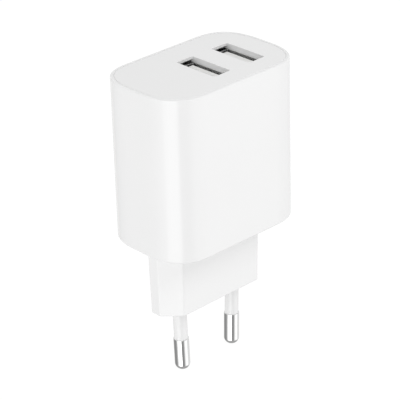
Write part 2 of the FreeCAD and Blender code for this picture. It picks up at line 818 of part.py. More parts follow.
def chip_capacitors():
    return chips([(CHIP_CAP_X, y) for y in CHIP_CAP_Y], CHIP_CAP_HIGH)


# ---- parts with straight leads ----

def straight_leads(places, low, high):
    return Part.makeCompound([rod(x, y, LEAD_RADIUS, low, high) for x, y in places])


def can_places():
    return [(CAN_X, -CAN_Y), (CAN_X, CAN_Y)]


def can_lead_places():
    return [(x + side * CAN_LEAD_HALF, y) for x, y in can_places() for side in (-1, 1)]


def turned(x, y, outline):
    """A body turned about an upright axis, from (radius, height) points."""
    points = [point(x + radius, y, height) for radius, height in outline]
    face = Part.Face(Part.makePolygon(points + points[:1]))
    return face.revolve(point(x, y, 0), UP, 360)


def turned_can(x, y, radius, low, top, bung_high):
    """An open-footed can: a turned outline with a rolled groove just above the bung's middle."""
    inside_top = low + bung_high
    groove = low + bung_high * CAN_ROLL_AT
    outline = [
        (radius - CAN_METAL, low),
        (radius, low),
        (radius, groove - 2 * CAN_ROLL),
        (radius - CAN_ROLL, groove - CAN_ROLL),
        (radius - CAN_ROLL, groove + CAN_ROLL),
        (radius, groove + 2 * CAN_ROLL),
        (radius, top - CAN_SHOULDER),
        (radius - CAN_SHOULDER, top),
        (0, top),
        (0, inside_top),
        (radius - CAN_METAL, inside_top),
    ]
    return turned(x, y, outline)


def input_can(x, y):
    return turned_can(x, y, CAN_RADIUS, CAN_LOW, CAN_TOP, CAN_BUNG_HIGH)


def input_can_film(x, y):
    """The shrunk-on film: a thin tube, turned in over the can's top edge."""
    foot = CAN_LOW + CAN_BUNG_HIGH
    outer = CAN_RADIUS + CAN_FILM
    top = CAN_TOP + CAN_FILM
    outline = [
        (CAN_RADIUS, foot),
        (outer, foot),
        (outer, top - CAN_FILM_TURN),
        (outer - CAN_FILM_TURN, top),
        (CAN_RADIUS - CAN_FILM_IN, top),
        (CAN_RADIUS - CAN_FILM_IN, CAN_TOP),
        (CAN_RADIUS - CAN_SHOULDER, CAN_TOP),
        (CAN_RADIUS, CAN_TOP - CAN_SHOULDER),
    ]
    return turned(x, y, outline)


def input_can_bung(x, y):
    bung = rod(x, y, CAN_RADIUS - CAN_METAL, CAN_LOW + BUNG_GAP, CAN_LOW + CAN_BUNG_HIGH)
    return bung.cut(input_can_leads(x, y))


def input_can_leads(x, y):
    places = [(x + side * CAN_LEAD_HALF, y) for side in (-1, 1)]
    return straight_leads(places, LEAD_END, CAN_LOW + CAN_BUNG_HIGH)


def output_can_places():
    return [(x, OUTPUT_CAN_Y) for x in OUTPUT_CAN_X]


def output_lead_places():
    return [(x + side * OUTPUT_LEAD_HALF, y) for x, y in output_can_places() for side in (-1, 1)]


def output_can_leads(x, y):
    places = [(x + side * OUTPUT_LEAD_HALF, y) for side in (-1, 1)]
    return straight_leads(places, USB_LEAD_END, OUTPUT_CAN_LOW + OUTPUT_BUNG_HIGH)


def output_can(x, y):
    return turned_can(
        x, y, OUTPUT_CAN_RADIUS, OUTPUT_CAN_LOW, OUTPUT_CAN_TOP, OUTPUT_BUNG_HIGH
    )


def output_can_bung(x, y):
    bung = rod(
        x, y, OUTPUT_CAN_RADIUS - CAN_METAL,
        OUTPUT_CAN_LOW + BUNG_GAP, OUTPUT_CAN_LOW + OUTPUT_BUNG_HIGH,
    )
    return bung.cut(output_can_leads(x, y))


def choke_lead_places():
    return [(CHOKE_X + side * CHOKE_LEAD_HALF, CHOKE_Y) for side in (-1, 1)]


def choke_core():
    core = joined([
        rod(CHOKE_X, CHOKE_Y, CHOKE_RADIUS, CHOKE_LOW, CHOKE_LOW + CHOKE_FLANGE),
        rod(CHOKE_X, CHOKE_Y, CHOKE_WAIST, CHOKE_LOW, CHOKE_TOP),
        rod(CHOKE_X, CHOKE_Y, CHOKE_RADIUS, CHOKE_TOP - CHOKE_FLANGE, CHOKE_TOP),
    ])
    return core.cut(straight_leads(choke_lead_places(), LEAD_END, CHOKE_LOW + CHOKE_FLANGE))


def choke_winding():
    low, high = CHOKE_LOW + CHOKE_FLANGE, CHOKE_TOP - CHOKE_FLANGE
    coil = rod(CHOKE_X, CHOKE_Y, CHOKE_COIL, low, high)
    coil = coil.cut(rod(CHOKE_X, CHOKE_Y, CHOKE_WAIST, low, high))
    ends = [rod(x, y, LEAD_RADIUS, LEAD_END, low) for x, y in choke_lead_places()]
    return joined([coil] + ends)


def fuse_lead_places():
    return [(FUSE_X, FUSE_Y), (FUSE_X + FUSE_LEAD_SPAN, FUSE_Y)]


def fuse_body():
    """A dumb-bell body: thicker end caps, thinner middle."""
    middle = rod(FUSE_X, FUSE_Y, FUSE_WAIST, FUSE_LOW, FUSE_TOP)
    caps = []
    for low in (FUSE_LOW, FUSE_TOP - FUSE_CAP):
        cap = rod(FUSE_X, FUSE_Y, FUSE_RADIUS, low, low + FUSE_CAP)
        edges = level_edges(cap, low) + level_edges(cap, low + FUSE_CAP)
        caps.append(cap.makeFillet(FUSE_CAP_ROUND, edges))
    return joined([middle] + caps)


def fuse_leads():
    """A short lower lead, and an upper lead bent over and led down beside the body."""
    bend = FUSE_LEAD_SPAN / 2
    crest = FUSE_TOP + FUSE_LEAD_RISE
    lower = rod(FUSE_X, FUSE_Y, LEAD_RADIUS, LEAD_END, FUSE_LOW)
    start = point(FUSE_X, FUSE_Y, FUSE_TOP)
    rise = point(FUSE_X, FUSE_Y, crest)
    over = point(FUSE_X + bend, FUSE_Y, crest + bend)
    fall = point(FUSE_X + FUSE_LEAD_SPAN, FUSE_Y, crest)
    finish = point(FUSE_X + FUSE_LEAD_SPAN, FUSE_Y, LEAD_END)
    path = Part.Wire([
        Part.makeLine(start, rise),
        Part.Arc(rise, over, fall).toShape(),
        Part.makeLine(fall, finish),
    ])
    section = Part.Wire([Part.makeCircle(LEAD_RADIUS, start, UP)])
    upper = path.makePipeShell([section], True, False)
    return Part.makeCompound([lower, upper])


def disc_lead_places():
    return [(DISC_X + side * DISC_LEAD_HALF, DISC_Y) for side in (-1, 1)]


def disc_body():
    disc = Part.makeCylinder(
        DISC_RADIUS, DISC_THICK, point(DISC_X, DISC_Y - DISC_THICK / 2, DISC_Z), point(0, 1, 0)
    )
    rims = [edge for edge in disc.Edges if edge.BoundBox.XLength > DISC_RADIUS]
    return disc.makeFillet(DISC_ROUND, rims)


def disc_leads():
    leads = straight_leads(disc_lead_places(), LEAD_END, DISC_Z - DISC_RADIUS / 2)
    return leads.cut(disc_body())


# ---- transformer ----

def transformer_pin_places():
    return [
        (TRANSFORMER_X + TRANSFORMER_PIN_PITCH * place, side * RAIL_Y)
        for place in TRANSFORMER_PIN_ROW for side in (-1, 1)
    ]


def transformer_pins():
    pins = [
        rod(x, y, TRANSFORMER_PIN_RADIUS, LEAD_END, MAIN_BOARD_TOP + TRANSFORMER_PIN_SUNK)
        for x, y in transformer_pin_places()
    ]
    return Part.makeCompound(pins)


def bobbin_ring(wide, deep, corner, z0, z1):
    return rounded_block(TRANSFORMER_X, 0, 2 * wide, 2 * deep, z0, z1, corner)


def bobbin():
    low = MAIN_BOARD_TOP + RAIL_HIGH
    tube_low, tube_top = low + BOBBIN_FLANGE, CORE_TOP - CORE_YOKE - BOBBIN_FLANGE
    shape = joined([
        bobbin_ring(BOBBIN_HALF_WIDE, BOBBIN_HALF_DEEP, BOBBIN_CORNER, low, tube_low),
        bobbin_ring(TUBE_HALF_WIDE, TUBE_HALF_DEEP, TUBE_CORNER, tube_low, tube_top),
        bobbin_ring(
            BOBBIN_HALF_WIDE, BOBBIN_HALF_DEEP, BOBBIN_CORNER, tube_top, tube_top + BOBBIN_FLANGE
        ),
        block_at(TRANSFORMER_X, RAIL_Y, RAIL_LONG, RAIL_WIDE, MAIN_BOARD_TOP, low),
        block_at(TRANSFORMER_X, -RAIL_Y, RAIL_LONG, RAIL_WIDE, MAIN_BOARD_TOP, low),
    ])
    leg_hole = block_at(
        TRANSFORMER_X, 0, CORE_LEG + 2 * CORE_ROOM, CORE_DEEP + 2 * CORE_ROOM,
        MAIN_BOARD_TOP, CORE_TOP,
    )
    return shape.cut(leg_hole).cut(transformer_pins())


def winding(inner, outer):
    """A wound layer between two thicknesses measured out from the bobbin tube."""
    low = MAIN_BOARD_TOP + RAIL_HIGH + BOBBIN_FLANGE
    top = CORE_TOP - CORE_YOKE - BOBBIN_FLANGE
    rings = [
        bobbin_ring(TUBE_HALF_WIDE + layer, TUBE_HALF_DEEP + layer, TUBE_CORNER + layer, low, top)
        for layer in (outer, inner)
    ]
    return rings[0].cut(rings[1])


def core_half(yoke_low, leg_low, leg_high, middle_low, middle_high):
    """An E-shaped half: a yoke, two outer legs and a middle leg ground short for the air gap."""
    edge = (CORE_WIDE - CORE_SIDE_LEG) / 2
    return joined([
        block_at(TRANSFORMER_X, 0, CORE_WIDE, CORE_DEEP, yoke_low, yoke_low + CORE_YOKE),
        block_at(TRANSFORMER_X - edge, 0, CORE_SIDE_LEG, CORE_DEEP, leg_low, leg_high),
        block_at(TRANSFORMER_X + edge, 0, CORE_SIDE_LEG, CORE_DEEP, leg_low, leg_high),
        block_at(TRANSFORMER_X, 0, CORE_LEG, CORE_DEEP, middle_low, middle_high),
    ])


def core_lower():
    yoke_top = CORE_LOW + CORE_YOKE
    return core_half(CORE_LOW, yoke_top, CORE_SPLIT, yoke_top, CORE_SPLIT - CORE_AIR_GAP / 2)


def core_upper():
    yoke_low = CORE_TOP - CORE_YOKE
    return core_half(yoke_low, CORE_SPLIT, yoke_low, CORE_SPLIT + CORE_AIR_GAP / 2, yoke_low)


# ---- all the pieces ----

def all_nodes():
    nodes = {
        "main_housing": main_housing(),
        "top_cover": top_cover(),
        "plug_base": plug_base(),
        "main_board": main_board(),
        "usb_board": usb_board(),
        "insulation_sheet": insulation_sheet(),
        "board_link_pins": board_link_pins(),
        "board_link_header": board_link_header(),
        "chip_resistors": chip_resistors(),
        "chip_capacitors": chip_capacitors(),
        "filter_choke_core": choke_core(),
        "filter_choke_winding": choke_winding(),
        "fuse_resistor_body": fuse_body(),
        "fuse_resistor_leads": fuse_leads(),
        "suppressor_disc_body": disc_body(),
        "suppressor_disc_leads": disc_leads(),
        "transformer_bobbin": bobbin(),
        "transformer_pins": transformer_pins(),
        "transformer_core_lower": core_lower(),
        "transformer_core_upper": core_upper(),
        "transformer_primary": winding(0, PRIMARY_THICK),
        "transformer_secondary": winding(PRIMARY_THICK, PRIMARY_THICK + SECONDARY_THICK),
        "transformer_tape": winding(
            PRIMARY_THICK + SECONDARY_THICK, PRIMARY_THICK + SECONDARY_THICK + TAPE_THICK
        ),
    }
    nodes.update(package_nodes())
    for side, word in ((-1, "left"), (1, "right")):
        nodes["pin_" + word] = mains_pin(side)
        nodes["pin_sleeve_" + word] = pin_sleeve(side)
        nodes["pin_contact_" + word] = pin_contact(side)
    for number, x in port_places():
        port = "port_" + str(number)
        nodes[port + "_shell"] = port_shell(x)
        nodes[port + "_insulator"] = port_insulator(x)
        nodes[port + "_contact_blades"] = contact_blades(x)
        nodes[port + "_contact_tails"] = contact_tails(x)
    for number, (x, y) in enumerate(can_places()):
        can = "input_capacitor_" + str(number + 1)
        nodes[can + "_can"] = input_can(x, y)
        nodes[can + "_film"] = input_can_film(x, y)
        nodes[can + "_bung"] = input_can_bung(x, y)
        nodes[can + "_leads"] = input_can_leads(x, y)
    for number, (x, y) in enumerate(output_can_places()):
        can = "output_capacitor_" + str(number + 1)
        nodes[can + "_can"] = output_can(x, y)
        nodes[can + "_bung"] = output_can_bung(x, y)
        nodes[can + "_leads"] = output_can_leads(x, y)
    return nodes


os.makedirs("parts", exist_ok=True)
for name, shape in all_nodes().items():
    shape.exportStep("parts/" + name + ".step")
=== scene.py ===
import json
import math

import bmesh
import bpy
from mathutils import Matrix, Vector

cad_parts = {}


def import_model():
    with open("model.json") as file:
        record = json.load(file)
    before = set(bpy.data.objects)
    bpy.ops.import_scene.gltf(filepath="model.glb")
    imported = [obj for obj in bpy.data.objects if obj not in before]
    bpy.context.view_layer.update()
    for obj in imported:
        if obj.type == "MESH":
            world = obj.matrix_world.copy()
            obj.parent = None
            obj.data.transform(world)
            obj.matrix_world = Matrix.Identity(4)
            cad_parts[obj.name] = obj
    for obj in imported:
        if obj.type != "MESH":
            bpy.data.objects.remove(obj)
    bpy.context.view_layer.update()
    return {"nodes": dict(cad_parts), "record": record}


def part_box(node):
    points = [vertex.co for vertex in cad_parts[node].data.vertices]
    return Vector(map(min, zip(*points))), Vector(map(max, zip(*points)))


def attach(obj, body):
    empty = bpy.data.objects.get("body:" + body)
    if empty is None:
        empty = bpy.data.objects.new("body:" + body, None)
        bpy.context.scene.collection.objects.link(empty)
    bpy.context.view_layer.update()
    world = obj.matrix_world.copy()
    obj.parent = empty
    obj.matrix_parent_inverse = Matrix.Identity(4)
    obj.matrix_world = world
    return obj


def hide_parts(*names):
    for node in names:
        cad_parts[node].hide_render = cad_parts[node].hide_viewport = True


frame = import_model()
nodes = frame["nodes"]

MM = 0.001


# ---------------------------------------------------------------- sizes, in millimetres
# The driving sizes come from the frame, so the looks follow the design.

def node_box(name):
    low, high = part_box(name)
    return low / MM, high / MM


HOUSING_LOW, HOUSING_HIGH = node_box("main_housing")
COVER_HIGH = node_box("top_cover")[1]
NOSE_HIGH = node_box("plug_base")[1]
BOARD_LOW = node_box("main_board")[0]
USB_LOW, USB_HIGH = node_box("usb_board")

HALF_WIDE = HOUSING_HIGH.x
HALF_DEEP = (HOUSING_HIGH.y - HOUSING_LOW.y) / 2
BODY_Y = (HOUSING_HIGH.y + HOUSING_LOW.y) / 2
BODY_LOW = HOUSING_LOW.z
BODY_TOP = HOUSING_HIGH.z
CORNER_WIDE = 11.0
CORNER_DEEP = 13.0
CORNER_POWER = 2.7
WALL = 1.8
RIM = 0.8
FLOOR = BODY_LOW + WALL
LEDGE_DOWN = 1.65
LEDGE = BODY_TOP - LEDGE_DOWN
COVER_TOP = COVER_HIGH.z
COVER_INSET = HALF_WIDE - COVER_HIGH.x
BOTTOM_ROUND = 0.6
TOP_ROUND = 0.4

NOSE_FLAT = 26.1
NOSE_CHAMFER = 4.6
NOSE_LONG = 35.3
NOSE_DEEP = 12.5
NOSE_DRAFT = 0.45
NOSE_ROUND = 0.7
NOSE_WALL = 1.8
NOSE_FLOOR = 3.0
NOSE_GAP = 0.05
FLANGE_WIDER = 1.8
FLANGE_TOP = NOSE_HIGH.z

PIN_LONG = 19.0
PIN_ROOT_HALF = 9.3
PIN_TIP_HALF = 8.75
PIN_RADIUS = 2.0
SLEEVE_LONG = 10.0
SLEEVE_RADIUS = 1.8
SLEEVE_SUNK = 1.0
NECK_RADIUS = 1.4
SHANK_RADIUS = 1.6
SHANK_TOP = 12.0
SHANK_GROOVES = (5.0, 9.0)
SHANK_GROOVE_RADIUS = 1.3
SHANK_GROOVE_HALF = 0.4
RECESS_RADIUS = 2.3
RECESS_DEEP = 0.4
TAIL_RADIUS = 1.0
TAIL_TOP = 15.0
BOSS_RADIUS = 3.4
PIN_TILT = math.atan((PIN_ROOT_HALF - PIN_TIP_HALF) / PIN_LONG)

PORT_NAMES = ("port_1", "port_2")
MOUTH_THIN = 5.3
MOUTH_LONG = 13.1
MOUTH_CORNER = 0.5
MOUTH_CHAMFER = 0.2
MOUTH_RELIEF = 1.2
MOUTH_LIP = 0.8


def port_middle(port):
    low, high = node_box(port + "_shell")
    return (low.x + high.x) / 2, (low.y + high.y) / 2


# ---------------------------------------------------------------- node helpers

class Surface:
    """A Principled material built up in steps.  Sizes inside it are in millimetres."""

    def __init__(self, name, colour, metallic=0.0, roughness=0.5, specular=0.5):
        self.material = bpy.data.materials.new(name)
        self.material.use_nodes = True
        self.nodes = self.material.node_tree.nodes
        self.links = self.material.node_tree.links
        self.shader = self.nodes["Principled BSDF"]
        self.colour = colour
        self.shader.inputs["Base Color"].default_value = (*colour, 1)
        self.shader.inputs["Metallic"].default_value = metallic
        self.shader.inputs["Roughness"].default_value = roughness
        self.shader.inputs["Specular IOR Level"].default_value = specular
        place = self.nodes.new("ShaderNodeTexCoord")
        scale = self.nodes.new("ShaderNodeVectorMath")
        scale.operation = "SCALE"
        scale.inputs["Scale"].default_value = 1 / MM
        self.links.new(place.outputs["Object"], scale.inputs[0])
        self.place = scale.outputs[0]
        self.height = None

    def noise(self, per_mm, detail=3.0, stretch=(1, 1, 1)):
        """Noise between 0 and 1 with this many lumps to the millimetre."""
        mapping = self.nodes.new("ShaderNodeMapping")
        mapping.inputs["Scale"].default_value = stretch
        self.links.new(self.place, mapping.inputs["Vector"])
        noise = self.nodes.new("ShaderNodeTexNoise")
        noise.inputs["Scale"].default_value = per_mm
        noise.inputs["Detail"].default_value = detail
        self.links.new(mapping.outputs[0], noise.inputs["Vector"])
        return noise.outputs["Fac"]

    def bands(self, per_mm, direction="Z", distortion=0.0):
        """Parallel ridges across one axis."""
        wave = self.nodes.new("ShaderNodeTexWave")
        wave.wave_type = "BANDS"
        wave.bands_direction = direction
        wave.inputs["Scale"].default_value = per_mm * math.pi / 10
        wave.inputs["Distortion"].default_value = distortion
        self.links.new(self.place, wave.inputs["Vector"])
        return wave.outputs["Fac"]

    def spread(self, source, low, high):
        """Map the middle half of 0..1, where most noise lies, to low..high."""
        ranged = self.nodes.new("ShaderNodeMapRange")
        ranged.inputs["From Min"].default_value = 0.25
        ranged.inputs["From Max"].default_value = 0.75
        ranged.inputs["To Min"].default_value = low
        ranged.inputs["To Max"].default_value = high
        self.links.new(source, ranged.inputs["Value"])
        return ranged.outputs["Result"]

    def tint(self, source, other, amount=1.0):
        """Mix the base colour towards another where source is high."""
        mix = self.nodes.new("ShaderNodeMix")
        mix.data_type = "RGBA"
        mix.inputs["A"].default_value = (*self.colour, 1)
        mix.inputs["B"].default_value = (*other, 1)
        self.links.new(self.spread(source, 0.0, amount), mix.inputs["Factor"])
        self.links.new(mix.outputs["Result"], self.shader.inputs["Base Color"])

    def rough(self, source, low, high):
        self.links.new(self.spread(source, low, high), self.shader.inputs["Roughness"])

    def bump(self, source, depth_mm, strength=1.0):
        """Add a bump of this depth, on top of any earlier one."""
        node = self.nodes.new("ShaderNodeBump")
        node.inputs["Distance"].default_value = depth_mm * MM
        node.inputs["Strength"].default_value = strength
        self.links.new(source, node.inputs["Height"])
        if self.height is not None:
            self.links.new(self.height, node.inputs["Normal"])
        self.height = node.outputs["Normal"]
        self.links.new(self.height, self.shader.inputs["Normal"])


# ---------------------------------------------------------------- materials, one function each

def housing_white():
    """Semi-gloss moulded plastic: a faint flow mottle and a very fine orange-peel skin."""
    s = Surface("housing_white", (0.87, 0.87, 0.87), roughness=0.18)
    s.tint(s.noise(0.05, 4), (0.86, 0.86, 0.86))
    s.rough(s.noise(0.6, 4), 0.16, 0.21)
    s.bump(s.noise(0.5, 2), 0.002, 0.2)
    s.bump(s.noise(7.0, 2), 0.0006, 0.25)
    return s.material


def sleeve_white():
    """Softer, duller plastic of the pin sleeves."""
    s = Surface("sleeve_white", (0.84, 0.84, 0.84), roughness=0.24)
    s.tint(s.noise(0.3, 3), (0.825, 0.825, 0.825))
    s.rough(s.noise(1.5, 3), 0.2, 0.28)
    s.bump(s.noise(5.0, 2), 0.0008, 0.3)
    return s.material


def nickel_plate():
    """Bright nickel with faint lengthwise drawing marks and handling haze."""
    s = Surface("nickel_plate", (0.90, 0.90, 0.90), metallic=1.0, roughness=0.07)
    s.tint(s.noise(0.8, 4), (0.86, 0.86, 0.855))
    s.rough(s.noise(2.0, 4, (3, 3, 0.3)), 0.05, 0.1)
    s.bump(s.noise(3.0, 2, (4, 4, 0.1)), 0.0004, 0.15)
    return s.material


def port_steel():
    """Plated sheet steel, lightly brushed along the shell."""
    s = Surface("port_steel", (0.50, 0.50, 0.50), metallic=1.0, roughness=0.27)
    s.tint(s.noise(0.7, 4), (0.44, 0.44, 0.44))
    s.rough(s.noise(4.0, 3, (1, 1, 0.1)), 0.22, 0.34)
    s.bump(s.noise(8.0, 2, (1, 1, 0.08)), 0.0008, 0.3)
    return s.material


def tongue_white():
    s = Surface("tongue_white", (0.84, 0.84, 0.825), roughness=0.48)
    s.tint(s.noise(0.5, 3), (0.80, 0.80, 0.785))
    s.rough(s.noise(2.0, 3), 0.42, 0.55)
    s.bump(s.noise(6.0, 2), 0.002, 0.4)
    return s.material


def contact_gold():
    """Thin gold over nickel, wearing paler in patches."""
    s = Surface("contact_gold", (0.83, 0.62, 0.28), metallic=1.0, roughness=0.2)
    s.tint(s.noise(1.2, 4), (0.86, 0.74, 0.48))
    s.rough(s.noise(3.0, 3), 0.15, 0.3)
    s.bump(s.noise(9.0, 2, (1, 3, 0.3)), 0.0008, 0.4)
    return s.material


def brass_strip():
    s = Surface("brass_strip", (0.74, 0.55, 0.24), metallic=1.0, roughness=0.28)
    s.tint(s.noise(0.7, 4), (0.60, 0.41, 0.17))
    s.rough(s.noise(2.5, 3, (1, 1, 0.15)), 0.22, 0.4)
    s.bump(s.noise(7.0, 2, (1, 1, 0.1)), 0.001, 0.5)
    return s.material


def board_green():
    """Solder mask over glass cloth: the weave shows faintly, and wide traces show as paler lanes."""
    s = Surface("board_green", (0.015, 0.16, 0.065), roughness=0.35)
    lanes = s.bands(1.3, "X", 2.0)
    s.tint(lanes, (0.022, 0.21, 0.088), 0.5)
    s.rough(s.noise(1.5, 4), 0.28, 0.45)
    s.bump(lanes, 0.01, 0.3)
    s.bump(s.bands(4.0, "Y"), 0.003, 0.3)
    return s.material


def insulation_card():
    s = Surface("insulation_card", (0.72, 0.66, 0.52), roughness=0.85)
    s.tint(s.noise(1.2, 6), (0.62, 0.55, 0.42))
    s.rough(s.noise(2.0, 4), 0.75, 0.95)
    s.bump(s.noise(3.0, 6, (1, 4, 1)), 0.01, 0.5)
    return s.material


def moulded_black():
    s = Surface("moulded_black", (0.02, 0.02, 0.021), roughness=0.5)
    s.tint(s.noise(0.6, 4), (0.032, 0.032, 0.033))
    s.rough(s.noise(2.0, 4), 0.42, 0.6)
    s.bump(s.noise(5.0, 3), 0.004, 0.5)
    return s.material


def chip_black():
    """Filled epoxy: gritty and dull."""
    s = Surface("chip_black", (0.028, 0.028, 0.03), roughness=0.6)
    s.tint(s.noise(3.0, 4), (0.045, 0.045, 0.047))
    s.rough(s.noise(4.0, 3), 0.5, 0.72)
    s.bump(s.noise(14.0, 4), 0.004, 0.6)
    return s.material


def chip_tan():
    s = Surface("chip_tan", (0.42, 0.30, 0.18), roughness=0.55)
    s.tint(s.noise(2.0, 4), (0.34, 0.23, 0.13))
    s.rough(s.noise(4.0, 3), 0.45, 0.65)
    s.bump(s.noise(12.0, 3), 0.003, 0.5)
    return s.material


def ferrite_dark():
    """Fired ferrite: dark, with a fine dry grain."""
    s = Surface("ferrite_dark", (0.05, 0.05, 0.053), roughness=0.62)
    s.tint(s.noise(1.5, 5), (0.085, 0.083, 0.082))
    s.rough(s.noise(3.0, 4), 0.5, 0.75)
    s.bump(s.noise(10.0, 5), 0.006, 0.6)
    return s.material


def enamel_copper():
    """Varnished wire."""
    s = Surface("enamel_copper", (0.62, 0.22, 0.07), metallic=0.85, roughness=0.25)
    s.tint(s.noise(0.9, 4), (0.48, 0.15, 0.045))
    s.rough(s.noise(2.0, 3), 0.18, 0.36)
    s.bump(s.noise(6.0, 2), 0.002, 0.4)
    return s.material


def wire_sheath():
    s = Surface("wire_sheath", (0.72, 0.52, 0.06), roughness=0.38)
    s.tint(s.noise(0.8, 3), (0.62, 0.42, 0.04))
    s.rough(s.noise(2.0, 3), 0.3, 0.48)
    s.bump(s.bands(1.8, "Z"), 0.06, 0.6)
    return s.material


def tape_yellow():
    """Polyester tape: glossy, with faint wraps and wrinkles."""
    s = Surface("tape_yellow", (0.80, 0.56, 0.05), roughness=0.3)
    s.tint(s.noise(0.4, 5), (0.70, 0.46, 0.03))
    s.rough(s.noise(1.2, 4), 0.22, 0.42)
    s.bump(s.noise(0.9, 3, (1, 1, 3)), 0.03, 0.5)
    return s.material


def can_aluminium():
    s = Surface("can_aluminium", (0.80, 0.81, 0.82), metallic=1.0, roughness=0.3)
    s.tint(s.noise(0.8, 4), (0.70, 0.71, 0.72))
    s.rough(s.noise(3.0, 3, (1, 1, 0.2)), 0.24, 0.4)
    s.bump(s.noise(8.0, 2, (1, 1, 0.1)), 0.001, 0.5)
    return s.material


def film_dark():
    """Shrunk-on film of the capacitors: near-black, glossy, slightly rippled."""
    s = Surface("film_dark", (0.012, 0.014, 0.02), roughness=0.24)
    s.tint(s.noise(0.4, 4), (0.022, 0.025, 0.035))
    s.rough(s.noise(1.2, 3), 0.18, 0.34)
    s.bump(s.noise(0.8, 3, (1, 1, 0.4)), 0.02, 0.4)
    return s.material


def bung_rubber():
    s = Surface("bung_rubber", (0.03, 0.03, 0.03), roughness=0.8)
    s.tint(s.noise(1.0, 4), (0.045, 0.044, 0.043))
    s.rough(s.noise(3.0, 3), 0.7, 0.9)
    s.bump(s.noise(8.0, 3), 0.004, 0.5)
    return s.material


def disc_blue():
    """Dipped resin coat of a disc capacitor."""
    s = Surface("disc_blue", (0.035, 0.12, 0.42), roughness=0.22)
    s.tint(s.noise(0.7, 4), (0.025, 0.09, 0.33))
    s.rough(s.noise(1.5, 3), 0.16, 0.32)
    s.bump(s.noise(1.2, 3), 0.03, 0.4)
    return s.material


def resistor_green():
    s = Surface("resistor_green", (0.16, 0.27, 0.19), roughness=0.5)
    s.tint(s.noise(1.0, 5), (0.11, 0.21, 0.14))
    s.rough(s.noise(2.5, 4), 0.4, 0.62)
    s.bump(s.noise(5.0, 4), 0.008, 0.5)
    return s.material


def tinned_wire():
    s = Surface("tinned_wire", (0.72, 0.72, 0.70), metallic=1.0, roughness=0.28)
    s.tint(s.noise(1.5, 4), (0.60, 0.60, 0.58))
    s.rough(s.noise(4.0, 3), 0.2, 0.4)
    s.bump(s.noise(7.0, 3), 0.002, 0.4)
    return s.material


def solder_grey():
    """Solder: bright but lumpy, duller where it froze last."""
    s = Surface("solder_grey", (0.66, 0.66, 0.65), metallic=1.0, roughness=0.3)
    s.tint(s.noise(1.8, 4), (0.50, 0.50, 0.49))
    s.rough(s.noise(3.0, 4), 0.2, 0.5)
    s.bump(s.noise(3.0, 3), 0.02, 0.5)
    return s.material


MATERIALS = {
    make.__name__: make()
    for make in (
        housing_white, sleeve_white, nickel_plate, port_steel, tongue_white, contact_gold,
        brass_strip, board_green, insulation_card, moulded_black, chip_black, chip_tan,
        ferrite_dark, enamel_copper, wire_sheath, tape_yellow, can_aluminium, film_dark,
        bung_rubber, disc_blue, resistor_green, tinned_wire, solder_grey,
    )
}
SLOT_OF = {row["node"]: row["material_slot"] for row in frame["record"]["subparts"]}


def dress(obj, slot):
    obj.data.materials.clear()
    obj.data.materials.append(MATERIALS[slot])


for node_name, node in nodes.items():
    dress(node, SLOT_OF[node_name])


# ---------------------------------------------------------------- mesh helpers

def new_object(name, verts, faces):
    """A mesh object from points in millimetres."""
    mesh = bpy.data.meshes.new(name)
    mesh.from_pydata([tuple(c * MM for c in v) for v in verts], [], faces)
    mesh.validate()
    obj = bpy.data.objects.new(name, mesh)
    bpy.context.scene.collection.objects.link(obj)
    return obj


def face_outwards(obj):
    work = bmesh.new()
    work.from_mesh(obj.data)
    bmesh.ops.recalc_face_normals(work, faces=work.faces)
    work.to_mesh(obj.data)
    work.free()


def smooth(obj, limit_degrees=32):
    """Smooth shading with edges sharper than the limit kept crisp."""
    obj.data.polygons.foreach_set("use_smooth", [True] * len(obj.data.polygons))
    work = bmesh.new()
    work.from_mesh(obj.data)
    limit = math.radians(limit_degrees)
    for edge in work.edges:
        edge.smooth = len(edge.link_faces) == 2 and edge.calc_face_angle(0) < limit
    work.to_mesh(obj.data)
    work.free()
    weighted = obj.modifiers.new("flats", "WEIGHTED_NORMAL")
    weighted.keep_sharp = True
    weighted.weight = 100


def loft(name, rings, closed_profile=False, capped=False):
    """Quads between rings that all have the same number of points."""
    count = len(rings[0])
    verts = [v for ring in rings for v in ring]
    faces = []
    steps = len(rings) if closed_profile else len(rings) - 1
    for i in range(steps):
        a = i * count
        b = ((i + 1) % len(rings)) * count
        for k in range(count):
            n = (k + 1) % count
            faces.append((a + k, a + n, b + n, b + k))
    if capped:
        faces.append(tuple(range(count)))
        faces.append(tuple((len(rings) - 1) * count + k for k in range(count)))
    obj = new_object(name, verts, faces)
    face_outwards(obj)
    return obj


def combine(target, tool, operation):
    """Apply an exact boolean and throw the tool away."""
    modifier = target.modifiers.new("combine", "BOOLEAN")
    modifier.operation = operation
    modifier.solver = "EXACT"
    modifier.object = tool
    bpy.context.view_layer.objects.active = target
    with bpy.context.temp_override(object=target, active_object=target, selected_objects=[target]):
        bpy.ops.object.modifier_apply(modifier=modifier.name)
    bpy.data.objects.remove(tool)


def finish_piece(obj, body, slot, *replaced):
    dress(obj, slot)
    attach(obj, body)
    if replaced:
        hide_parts(*replaced)


def rising_round(radius, steps):
    """(out, up) places round a quarter circle, from the flat face to the upright wall."""
    places = []
    for k in range(steps + 1):
        turn = math.pi / 2 * k / steps
        places.append((radius * math.sin(turn), radius * (1 - math.cos(turn))))
    return places


# ---------------------------------------------------------------- outlines

